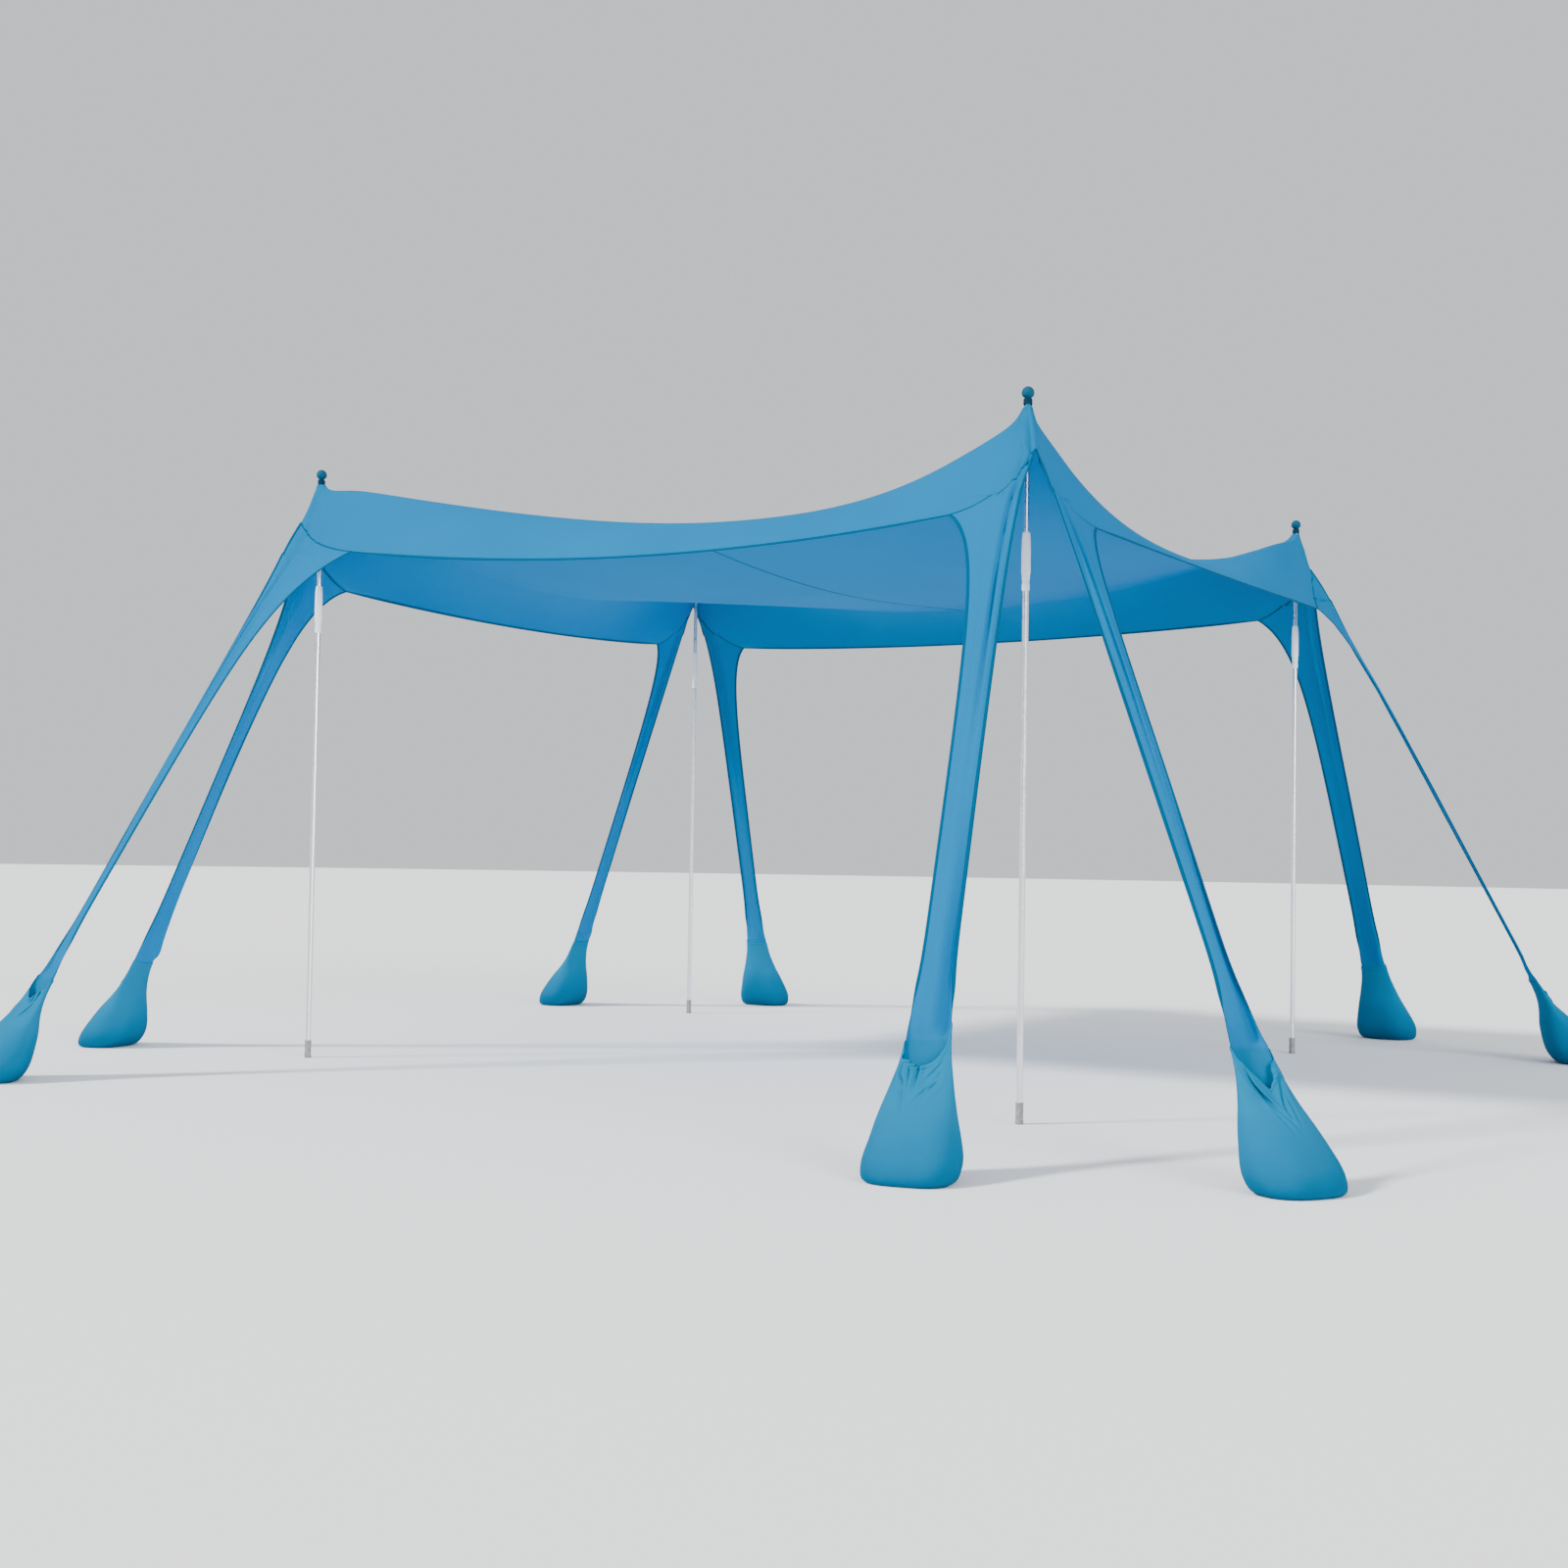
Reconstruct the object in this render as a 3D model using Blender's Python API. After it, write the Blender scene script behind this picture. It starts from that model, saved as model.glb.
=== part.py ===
# Beach sun shelter: a stretch-fabric canopy on four telescoping poles,
# held down by eight fabric legs that end in sand-filled pockets.
# Units are metres, +Z is up, the front is towards -Y.
import math

import bmesh
import bpy
import numpy as np
from mathutils import Vector

# Driving dimensions
POLE_SPAN_X = 2.947
POLE_SPAN_Y = 2.712
# How far a pole is set down from its corner of the rectangle between the poles
POLE_SHIFTS = {"rear_left": (-0.070, -0.043)}
PEAK_Z = 2.185
FABRIC = 0.0024
SEAM_GAP = 0.0003

# Ridges between neighbouring poles
RIDGE_SAG = 0.264
RIDGE_SAG_POWER = 2.2
RIDGE_BOW = 0.10
# The lowest point of each ridge, as a share of its length from the side's first corner
RIDGE_LOW = {"front": 0.66, "right": 0.46, "rear": 0.50, "left": 0.50}
ROOF_CENTRE_Z = 1.860

# Free lower edges of the four valances
HEM_CORNER_OUT = 0.150
# Where each leg takes over the hem: distance along the side from its pole, and height
HEM_CORNERS = {
    ("front_right", "front"): (0.185, 1.837),
    ("front_right", "right"): (0.190, 1.822),
    ("front_left", "front"): (0.305, 1.885),
    ("front_left", "left"): (0.310, 1.819),
    ("rear_left", "left"): (0.117, 1.830),
    ("rear_left", "rear"): (0.187, 1.823),
    ("rear_right", "rear"): (0.207, 1.842),
    ("rear_right", "right"): (0.176, 1.836),
}
HEM_MIDDLE_OUT = 0.115
HEM_MIDDLE_Z = {"front": 1.793, "right": 1.838, "rear": 1.791, "left": 1.785}
VALANCE_BULGE = 0.014

# The point below each peak where its two legs part
CROTCH_OUT = 0.050
CROTCH_Z = 2.050
SEAM_SAG_OUT = 0.085
# Shares of the hem corner's distance and drop that the seam's middle has reached
SEAM_SAG_ALONG = 0.20
SEAM_SAG_DROP = 0.80

# Gathered fabric round the pole top
PEAK_RING_RADIUS = 0.0108
PEAK_LIP_RADIUS = 0.0190
PEAK_LIP_DROP = 0.020

# Legs
LEG_START_Z = 1.950
LEG_CURL = 0.014
CORNER_SPREAD = 0.150
HEM_EDGE_SPREAD = 0.080
BAG_SPREAD = 0.150

# Sand pockets: distance (m) and bearing (degrees from +X) of each from its pole, how far
# along its side (m) from the peak the line of its pull passes, and the leg's half width
POCKETS = {
    ("front_right", "front"): (1.165, -78.8, 0.050, 0.041),
    ("front_right", "right"): (1.290, -33.8, 0.050, 0.029),
    ("front_left", "front"): (1.239, -102.8, 0.045, 0.028),
    ("front_left", "left"): (0.925, -168.6, 0.125, 0.036),
    ("rear_left", "left"): (0.799, 179.9, 0.000, 0.042),
    ("rear_left", "rear"): (0.738, 91.1, 0.076, 0.040),
    ("rear_right", "rear"): (1.005, 82.0, 0.040, 0.046),
    ("rear_right", "right"): (1.136, 20.3, 0.030, 0.048),
}
BAG_HEIGHT = 0.330
BAG_TOP_HALF_WIDTH = 0.061
BAG_TOP_HALF_DEPTH = 0.038
BAG_WALL = 0.004
MOUTH_DEPTH = 0.055
# Height, half width and half depth of each level of a filled pocket
BAG_LEVELS = (
    (0.000, 0.092, 0.066),
    (0.008, 0.109, 0.082),
    (0.028, 0.123, 0.098),
    (0.060, 0.128, 0.102),
    (0.105, 0.118, 0.092),
    (0.165, 0.101, 0.073),
    (0.225, 0.083, 0.055),
    (0.280, 0.068, 0.043),
    (BAG_HEIGHT, BAG_TOP_HALF_WIDTH, BAG_TOP_HALF_DEPTH),
)
BAG_SIDES = 20

# Poles
UPPER_RADIUS = 0.0080
UPPER_BORE = 0.0069
UPPER_BOTTOM_Z = 1.050
LOWER_RADIUS = 0.0098
LOWER_BORE = 0.0086
LOWER_TOP_Z = 1.735
LOCK_BOTTOM_Z = 1.614
LOCK_TOP_Z = 1.792
FOOT_HEIGHT = 0.065
FOOT_FLOOR = 0.008
FOOT_BORE = LOWER_RADIUS + SEAM_GAP
POLE_SIDES = 16
RUNNING_CLEARANCE = 0.0005

# Peak knobs
TIE_RADIUS = 0.0118
TIE_HEIGHT = 0.017
KNOB_RADIUS = 0.0195
KNOB_SEAT_RADIUS = 0.0095

# Mesh steps
SIDE_STEPS = 20
SIDE_GRADING = 1.9
LEG_ROWS = 4
LEG_STEPS = 18
LEG_GRADING = 1.25
KNOB_STEPS = 9
SHARP_ANGLE = math.radians(40)
SAME_PLACE = 1e-6
VALANCE_ROWS = LEG_ROWS + 2

CORNERS = {
    "front_right": (1, -1),
    "front_left": (-1, -1),
    "rear_left": (-1, 1),
    "rear_right": (1, 1),
}
# Each side: the corners it runs between and its outward direction
SIDES = {
    "front": ("front_left", "front_right", Vector((0, -1, 0))),
    "right": ("front_right", "rear_right", Vector((1, 0, 0))),
    "rear": ("rear_left", "rear_right", Vector((0, 1, 0))),
    "left": ("front_left", "rear_left", Vector((-1, 0, 0))),
}
COLOURS = {
    "canopy_fabric": ((0.10, 0.52, 0.86, 1.0), 0.75, 0.0),
    "sandbag_fabric": ((0.08, 0.40, 0.68, 1.0), 0.80, 0.0),
    "knob_fabric": ((0.02, 0.14, 0.30, 1.0), 0.80, 0.0),
    "tie_cord": ((0.01, 0.07, 0.16, 1.0), 0.70, 0.0),
    "pole_aluminium": ((0.80, 0.81, 0.83, 1.0), 0.30, 1.0),
    "lock_plastic": ((0.93, 0.94, 0.95, 1.0), 0.40, 0.0),
    "foot_rubber": ((0.35, 0.36, 0.38, 1.0), 0.85, 0.0),
}


def clear_scene():
    for obj in list(bpy.data.objects):
        bpy.data.objects.remove(obj, do_unlink=True)


def material(name):
    made = bpy.data.materials.get(name)
    if made is None:
        colour, roughness, metallic = COLOURS[name]
        made = bpy.data.materials.new(name)
        made.use_nodes = True
        shader = made.node_tree.nodes["Principled BSDF"]
        shader.inputs["Base Color"].default_value = colour
        shader.inputs["Roughness"].default_value = roughness
        shader.inputs["Metallic"].default_value = metallic
    return made


def pole_foot(corner):
    sign_x, sign_y = CORNERS[corner]
    shift_x, shift_y = POLE_SHIFTS.get(corner, (0.0, 0.0))
    return Vector((sign_x * POLE_SPAN_X / 2 + shift_x, sign_y * POLE_SPAN_Y / 2 + shift_y, 0.0))


def outward(corner):
    sign_x, sign_y = CORNERS[corner]
    return Vector((sign_x, sign_y, 0.0)).normalized()


def link_mesh(name, mesh, finish, parent, location=(0, 0, 0)):
    obj = bpy.data.objects.new(name, mesh)
    obj.location = location
    obj.parent = parent
    if not mesh.materials:
        mesh.materials.append(material(finish))
    bpy.context.scene.collection.objects.link(obj)
    return obj


def graded(step):
    """Place along a side from 0 to 1, with short steps close to both poles."""
    half = SIDE_STEPS / 2
    if step <= half:
        return 0.5 * (step / half) ** SIDE_GRADING
    return 1.0 - graded(SIDE_STEPS - step)


def arch(t):
    return 1.0 - (2.0 * t - 1.0) ** 2


def lopsided(t, low):
    """Distance from the lowest place of a span: 0 there and 1 at both of its ends."""
    share = (1.0 - low) / low
    eased = t * share / (1.0 - t + t * share)
    return abs(2.0 * eased - 1.0)


def ridge_point(side, t):
    """A point on the sagging ridge between two peaks."""
    start, end, out = SIDES[side]
    point = pole_foot(start).lerp(pole_foot(end), t)
    point -= out * RIDGE_BOW * arch(t) ** 2
    point.z = PEAK_Z - RIDGE_SAG * (1.0 - lopsided(t, RIDGE_LOW[side]) ** RIDGE_SAG_POWER)
    return point


def side_direction(side):
    start, end, _ = SIDES[side]
    return (pole_foot(end) - pole_foot(start)).normalized()


def inward_along(side, corner):
    """Unit vector along a side, from the given corner towards the other one."""
    direction = side_direction(side)
    return direction if SIDES[side][0] == corner else -direction


def hem_corner(corner, side):
    """Where a valance's free edge meets the leg."""
    along, z = HEM_CORNERS[(corner, side)]
    return corner_point(corner, side, HEM_CORNER_OUT, along, z)


def corner_point(corner, side, out_by, along_by, z):
    """A point beside a pole: out from the side, and along it towards its middle."""
    point = pole_foot(corner)
    point += SIDES[side][2] * out_by
    point += inward_along(side, corner) * along_by
    point.z = z
    return point


def hem_point(side, t):
    """A point on the valance's free edge."""
    start, end, out = SIDES[side]
    first = hem_corner(start, side)
    last = hem_corner(end, side)
    point = first.lerp(last, t)
    point -= out * (HEM_CORNER_OUT - HEM_MIDDLE_OUT) * arch(t)
    point.z += (HEM_MIDDLE_Z[side] - (first.z + last.z) / 2) * arch(t)
    return point


def crotch_point(corner):
    sign_x, sign_y = CORNERS[corner]
    return pole_foot(corner) + Vector((sign_x * CROTCH_OUT, sign_y * CROTCH_OUT, CROTCH_Z))


def seam_point(corner, side, k):
    """The sewn line from the crotch to the hem corner, where a leg joins its valance."""
    first = crotch_point(corner)
    last = hem_corner(corner, side)
    along = HEM_CORNERS[(corner, side)][0] * SEAM_SAG_ALONG
    middle_z = first.z + (last.z - first.z) * SEAM_SAG_DROP
    middle = corner_point(corner, side, SEAM_SAG_OUT, along, middle_z)
    return first.lerp(middle, k).lerp(middle.lerp(last, k), k)


def ring_point(corner, direction):
    """A point where the fabric closes on the pole top."""
    point = pole_foot(corner) + direction.normalized() * PEAK_RING_RADIUS
    point.z = PEAK_Z
    return point


def valance_end(corner, side):
    """Points down the end of a valance: pole top, lip, crotch, then the leg seam."""
    towards_panel = inward_along(side, corner) + outward(corner)
    lip = pole_foot(corner) + outward(corner) * PEAK_LIP_RADIUS
    lip.z = PEAK_Z - PEAK_LIP_DROP
    points = [ring_point(corner, towards_panel), lip]
    for row in range(LEG_ROWS + 1):
        points.append(seam_point(corner, side, row / LEG_ROWS))
    return points


def valance_grid(side):
    """Rows of points from ridge to hem, each running the length of the side."""
    start, end, out = SIDES[side]
    ends = (valance_end(start, side), valance_end(end, side))
    span = (pole_foot(end) - pole_foot(start)).length
    rows = []
    for row in range(VALANCE_ROWS + 1):
        k = row / VALANCE_ROWS
        line = []
        for step in range(SIDE_STEPS + 1):
            t = graded(step)
            point = ridge_point(side, t).lerp(hem_point(side, t), k)
            point += (out + Vector((0, 0, 1))) * VALANCE_BULGE * 4 * k * (1 - k) * arch(t)
            for end_points, place in ((ends[0], 0.0), (ends[1], 1.0)):
                away = abs(t - place) * span
                fade = math.exp(-((away / CORNER_SPREAD) ** 2))
                straight = ridge_point(side, place).lerp(hem_point(side, place), k)
                held = row > 0 or step in (0, SIDE_STEPS)
                if held:
                    point += (end_points[row] - straight) * fade
            line.append(point)
        rows.append(line)
    return rows


def leg_frame(corner, side):
    """Where the leg's pull line passes the peak and meets the ground, and its directions."""
    distance, bearing, shift, _ = POCKETS[(corner, side)]
    angle = math.radians(bearing)
    away = Vector((math.cos(angle), math.sin(angle), 0.0))
    across = Vector((-away.y, away.x, 0.0))
    towards_valance = inward_along(side, corner)
    if across.dot(towards_valance) < 0:
        across = -across
    peak = pole_foot(corner) + towards_valance * shift
    peak.z = PEAK_Z
    base = pole_foot(corner) + away * distance
    return peak, base, across, away


def leg_axis(corner, side, z):
    peak, base, _, _ = leg_frame(corner, side)
    return base.lerp(peak, z / PEAK_Z)


def leg_grid(corner, side):
    """Rows of points down a leg, from its crotch edge to its hem edge."""
    _, _, across, away = leg_frame(corner, side)
    top = leg_axis(corner, side, LEG_START_Z)
    bottom = leg_axis(corner, side, BAG_HEIGHT + SEAM_GAP)
    length = (top - bottom).length
    strip_half = POCKETS[(corner, side)][3]
    rim_half = BAG_TOP_HALF_WIDTH - BAG_WALL / 2
    rim_depth = BAG_TOP_HALF_DEPTH - BAG_WALL / 2
    rows = []
    for row in range(LEG_ROWS + 1):
        k = row / LEG_ROWS
        spread = CORNER_SPREAD + HEM_EDGE_SPREAD * k
        line = []
        for step in range(LEG_STEPS + 1):
            run = (step / LEG_STEPS) ** LEG_GRADING * length
            near_top = math.exp(-run / spread) if step < LEG_STEPS else 0.0
            near_bag = math.exp(-((length - run) / BAG_SPREAD) ** 2)
            half = strip_half + (rim_half - strip_half) * near_bag
            curl = LEG_CURL + (rim_depth - LEG_CURL) * near_bag
            angle = math.pi * k
            section = -across * half * math.cos(angle) - away * curl * math.sin(angle)
            centre = top.lerp(bottom, run / length)
            from_seam = seam_point(corner, side, k) - top
            line.append(centre + section.lerp(from_seam, near_top))
        rows.append(line)
    return rows


def roof_grid():
    """Roof points from left to right; heights settle under the fabric's own weight."""
    count = SIDE_STEPS + 1
    plan = [[None] * count for _ in range(count)]
    for i in range(count):
        for j in range(count):
            u = graded(i)
            v = graded(j)
            front = pole_foot("front_left").lerp(pole_foot("front_right"), u)
            rear = pole_foot("rear_left").lerp(pole_foot("rear_right"), u)
            bow_x = (1 - 2 * u) * RIDGE_BOW * arch(v) ** 2
            bow_y = (1 - 2 * v) * RIDGE_BOW * arch(u) ** 2
            plan[i][j] = front.lerp(rear, v) + Vector((bow_x, bow_y, 0.0))
    for n in range(count):
        plan[n][0] = ridge_point("front", graded(n))
        plan[n][-1] = ridge_point("rear", graded(n))
        plan[0][n] = ridge_point("left", graded(n))
        plan[-1][n] = ridge_point("right", graded(n))
    settle_roof(plan)
    for corner, (sign_x, sign_y) in CORNERS.items():
        i = -1 if sign_x > 0 else 0
        j = -1 if sign_y > 0 else 0
        plan[i][j] = ring_point(corner, -outward(corner))
    return plan


def settle_roof(plan):
    """Solve the inner heights: even tension, plus a load that gives the centre height."""
    count = len(plan)
    steps = [graded(n + 1) - graded(n) for n in range(count - 1)]
    inner = count - 2
    matrix = np.zeros((inner * inner, inner * inner))
    edges = np.zeros(inner * inner)
    load = np.zeros(inner * inner)
    for i in range(1, count - 1):
        for j in range(1, count - 1):
            here = (i - 1) * inner + (j - 1)
            wide = (steps[i - 1] + steps[i]) / 2
            deep = (steps[j - 1] + steps[j]) / 2
            load[here] = wide * deep
            links = (
                (i - 1, j, deep / steps[i - 1]),
                (i + 1, j, deep / steps[i]),
                (i, j - 1, wide / steps[j - 1]),
                (i, j + 1, wide / steps[j]),
            )
            for a, b, pull in links:
                matrix[here, here] += pull
                if 0 < a < count - 1 and 0 < b < count - 1:
                    matrix[here, (a - 1) * inner + (b - 1)] -= pull
                else:
                    edges[here] += pull * plan[a][b].z
    taut = np.linalg.solve(matrix, edges)
    drop = np.linalg.solve(matrix, load)
    middle = (inner * inner) // 2
    weight = (taut[middle] - ROOF_CENTRE_Z) / drop[middle]
    heights = taut - weight * drop
    for i in range(1, count - 1):
        for j in range(1, count - 1):
            plan[i][j].z = heights[(i - 1) * inner + (j - 1)]


def key(point):
    return tuple(round(value, 6) for value in point)


def at_height(point, z):
    return abs(point.z - z) < SAME_PLACE


def gather_normals(grids):
    """Shared normals, so that neighbouring panels meet in one plane along a seam."""
    normals = {}
    for grid in grids:
        for i in range(len(grid) - 1):
            for j in range(len(grid[0]) - 1):
                quad = (grid[i][j], grid[i + 1][j], grid[i + 1][j + 1], grid[i][j + 1])
                normal = (quad[2] - quad[0]).cross(quad[3] - quad[1])
                for point in quad:
                    normals.setdefault(key(point), Vector())
                    normals[key(point)] += normal.normalized()
    return normals


def panel_mesh(name, grid, normals):
    """A closed sheet of fabric on a grid of points, drawn in slightly at its seams."""
    rows = len(grid)
    cols = len(grid[0])
    mesh = bpy.data.meshes.new(name)
    shape = bmesh.new()
    layers = []
    for side in (0.5, -0.5):
        layer = []
        for i in range(rows):
            line = []
            for j in range(cols):
                point = grid[i][j].copy()
                normal = normals[key(point)].normalized()
                offset = normal * FABRIC * side
                on_bag = at_height(point, BAG_HEIGHT + SEAM_GAP)
                if on_bag or at_height(point, PEAK_Z):
                    flat = Vector((normal.x, normal.y, 0.0)).normalized()
                    offset = flat * FABRIC * side
                for a, b, edge in ((1, 0, i == 0), (-1, 0, i == rows - 1),
                                   (0, 1, j == 0), (0, -1, j == cols - 1)):
                    if edge and not on_bag:
                        inward = (grid[i + a][j + b] - grid[i][j]).normalized()
                        point = point + inward * SEAM_GAP / 2
                line.append(shape.verts.new(point + offset))
            layer.append(line)
        layers.append(layer)
    upper, lower = layers
    for i in range(rows - 1):
        for j in range(cols - 1):
            shape.faces.new((upper[i][j], upper[i + 1][j], upper[i + 1][j + 1], upper[i][j + 1]))
            shape.faces.new((lower[i][j], lower[i][j + 1], lower[i + 1][j + 1], lower[i + 1][j]))
    border = [(i, 0) for i in range(rows)]
    border += [(rows - 1, j) for j in range(1, cols)]
    border += [(i, cols - 1) for i in range(rows - 2, -1, -1)]
    border += [(0, j) for j in range(cols - 2, 0, -1)]
    for here, there in zip(border, border[1:] + border[:1]):
        shape.faces.new((upper[there[0]][there[1]], upper[here[0]][here[1]],
                         lower[here[0]][here[1]], lower[there[0]][there[1]]))
    bmesh.ops.triangulate(shape, faces=shape.faces[:], quad_method="SHORT_EDGE")
    bmesh.ops.recalc_face_normals(shape, faces=shape.faces[:])
    for face in shape.faces:
        face.smooth = True
    shape.to_mesh(mesh)
    shape.free()
    mesh.set_sharp_from_angle(angle=SHARP_ANGLE)
    return mesh


def build_canopy(parent):
    roof = roof_grid()
    half = SIDE_STEPS // 2
    grids = {
        "roof_left": roof[:half + 1],
        "roof_right": roof[half:],
    }
    for side in SIDES:
        grids["valance_" + side] = valance_grid(side)
    for corner, side in POCKETS:
        grids["leg_" + corner + "_" + side] = leg_grid(corner, side)
    oriented = {}
    for name, grid in grids.items():
        oriented[name] = face_up(name, grid)
    normals = gather_normals(list(oriented.values()))
    for name, grid in oriented.items():
        link_mesh(name, panel_mesh(name, grid, normals), "canopy_fabric", parent)


def face_up(name, grid):
    """Turn a grid over where its faces would point into the shelter."""
    i = len(grid) // 2
    j = len(grid[0]) // 2
    normal = (grid[i][j] - grid[i - 1][j - 1]).cross(grid[i - 1][j] - grid[i][j - 1])
    centre = grid[i][j]
    wanted = Vector((0, 0, 1))
    if not name.startswith("roof"):
        wanted = Vector((centre.x, centre.y, 1.0))
    if normal.dot(wanted) < 0:
        return [list(line) for line in zip(*grid)]
    return grid


def ellipse_ring(shape, centre, across, away, half_width, half_depth):
    ring = []
    for n in range(BAG_SIDES):
        angle = 2 * math.pi * n / BAG_SIDES
        point = centre + across * half_width * math.cos(angle) + away * half_depth * math.sin(angle)
        ring.append(shape.verts.new(point))
    return ring


def bridge(shape, first, second):
    count = len(first)
    for n in range(count):
        m = (n + 1) % count
        shape.faces.new((first[n], first[m], second[m], second[n]))


def build_sandbag(corner, side, parent):
    """A filled pocket with a flat base, leaning with its leg, open at its mouth."""
    _, base, across, away = leg_frame(corner, side)
    name = "sandbag_" + corner + "_" + side
    shape = bmesh.new()
    rings = []
    for z, half_width, half_depth in BAG_LEVELS:
        centre = leg_axis(corner, side, z) - base
        rings.append(ellipse_ring(shape, centre, across, away, half_width, half_depth))
    inner_width = BAG_TOP_HALF_WIDTH - BAG_WALL
    inner_depth = BAG_TOP_HALF_DEPTH - BAG_WALL
    for z in (BAG_HEIGHT, BAG_HEIGHT - MOUTH_DEPTH):
        centre = leg_axis(corner, side, z) - base
        rings.append(ellipse_ring(shape, centre, across, away, inner_width, inner_depth))
    for first, second in zip(rings, rings[1:]):
        bridge(shape, first, second)
    shape.faces.new(rings[0])
    shape.faces.new(rings[-1])
    bmesh.ops.recalc_face_normals(shape, faces=shape.faces[:])
    for face in shape.faces:
        face.smooth = True
    mesh = bpy.data.meshes.new(name)
    shape.to_mesh(mesh)
    shape.free()
    mesh.set_sharp_from_angle(angle=SHARP_ANGLE)
    link_mesh(name, mesh, "sandbag_fabric", parent, base)


def turned_mesh(name, profile, sides, closed):
    """Turn a profile of (radius, height) points round the Z axis into a solid."""
    shape = bmesh.new()
    rings = []
    for radius, z in profile:
        if radius == 0:
            rings.append([shape.verts.new((0, 0, z))])
            continue
        ring = []
        for n in range(sides):
            angle = 2 * math.pi * n / sides
            ring.append(shape.verts.new((radius * math.cos(angle), radius * math.sin(angle), z)))
        rings.append(ring)
    pairs = list(zip(rings, rings[1:]))
    if closed:
        pairs.append((rings[-1], rings[0]))
    for first, second in pairs:
        for n in range(sides):
            m = (n + 1) % sides
            if len(first) == 1:
                shape.faces.new((first[0], second[m], second[n]))
            elif len(second) == 1:
                shape.faces.new((first[n], first[m], second[0]))
            else:
                shape.faces.new((first[n], first[m], second[m], second[n]))
    bmesh.ops.recalc_face_normals(shape, faces=shape.faces[:])
    for face in shape.faces:
        face.smooth = True
    mesh = bpy.data.meshes.new(name)
    shape.to_mesh(mesh)
    shape.free()
    mesh.set_sharp_from_angle(angle=SHARP_ANGLE)
    return mesh


def tube_profile(radius, bore, bottom, top):
    return ((radius, bottom), (radius, top), (bore, top), (bore, bottom))


def lock_profile():
    """Twist-lock collar: a seat for the lower tube, and a bore for the upper one."""
    seat = LOWER_RADIUS + SEAM_GAP
    throat = UPPER_RADIUS + RUNNING_CLEARANCE
    return (
        (seat, LOCK_BOTTOM_Z),
        (0.0112, LOCK_BOTTOM_Z),
        (0.0118, LOCK_BOTTOM_Z + 0.008),
        (0.0118, LOCK_BOTTOM_Z + 0.020),
        (0.0108, LOCK_BOTTOM_Z + 0.023),
        (0.0108, LOCK_BOTTOM_Z + 0.030),
        (0.0122, LOCK_BOTTOM_Z + 0.036),
        (0.0122, LOCK_BOTTOM_Z + 0.046),
        (0.0140, LOCK_BOTTOM_Z + 0.056),
        (0.0142, LOCK_TOP_Z - 0.060),
        (0.0130, LOCK_TOP_Z - 0.020),
        (0.0116, LOCK_TOP_Z - 0.004),
        (0.0105, LOCK_TOP_Z),
        (throat, LOCK_TOP_Z),
        (throat, LOWER_TOP_Z + SEAM_GAP),
        (seat, LOWER_TOP_Z + SEAM_GAP),
    )


def foot_profile():
    """Rubber foot: a flat-bottomed cup for the lower tube."""
    return (
        (0.0, 0.0),
        (0.0118, 0.0),
        (0.0128, 0.002),
        (0.0128, 0.010),
        (0.0118, 0.013),
        (0.0118, FOOT_HEIGHT - 0.006),
        (0.0122, FOOT_HEIGHT - 0.004),
        (0.0122, FOOT_HEIGHT),
        (FOOT_BORE, FOOT_HEIGHT),
        (FOOT_BORE, FOOT_FLOOR),
        (0.0, FOOT_FLOOR),
    )


def knob_profile():
    """The covered ball, flat where it sits on its tie."""
    bottom = PEAK_Z + SEAM_GAP + TIE_HEIGHT + SEAM_GAP
    centre = bottom + math.sqrt(KNOB_RADIUS ** 2 - KNOB_SEAT_RADIUS ** 2)
    start = math.asin(-(centre - bottom) / KNOB_RADIUS)
    points = [(0.0, bottom)]
    for n in range(KNOB_STEPS):
        angle = start + (math.pi / 2 - start) * n / KNOB_STEPS
        points.append((KNOB_RADIUS * math.cos(angle), centre + KNOB_RADIUS * math.sin(angle)))
    points.append((0.0, centre + KNOB_RADIUS))
    return points


def tie_profile():
    bottom = PEAK_Z + SEAM_GAP
    top = bottom + TIE_HEIGHT
    waist = TIE_RADIUS - 0.0012
    return (
        (0.0, bottom),
        (TIE_RADIUS, bottom),
        (TIE_RADIUS, bottom + 0.004),
        (waist, bottom + 0.007),
        (waist, top - 0.005),
        (TIE_RADIUS - 0.0004, top - 0.003),
        (TIE_RADIUS - 0.0008, top),
        (0.0, top),
    )


def build_poles(parent):
    """Four equal poles: lower section, lock and foot slide up the fixed upper tube."""
    meshes = {
        "pole_upper": (turned_mesh("pole_upper", tube_profile(
            UPPER_RADIUS, UPPER_BORE, UPPER_BOTTOM_Z, PEAK_Z), POLE_SIDES, True), "pole_aluminium"),
        "pole_lower": (turned_mesh("pole_lower", tube_profile(
            LOWER_RADIUS, LOWER_BORE, FOOT_FLOOR + SEAM_GAP, LOWER_TOP_Z), POLE_SIDES, True),
            "pole_aluminium"),
        "twist_lock": (turned_mesh("twist_lock", lock_profile(), POLE_SIDES, True), "lock_plastic"),
        "pole_foot": (turned_mesh("pole_foot", foot_profile(), POLE_SIDES, False), "foot_rubber"),
        "peak_tie": (turned_mesh("peak_tie", tie_profile(), POLE_SIDES, False), "tie_cord"),
        "peak_knob": (turned_mesh("peak_knob", knob_profile(), POLE_SIDES, False), "knob_fabric"),
    }
    for corner in CORNERS:
        for name, (mesh, finish) in meshes.items():
            link_mesh(name + "_" + corner, mesh, finish, parent, pole_foot(corner))


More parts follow.
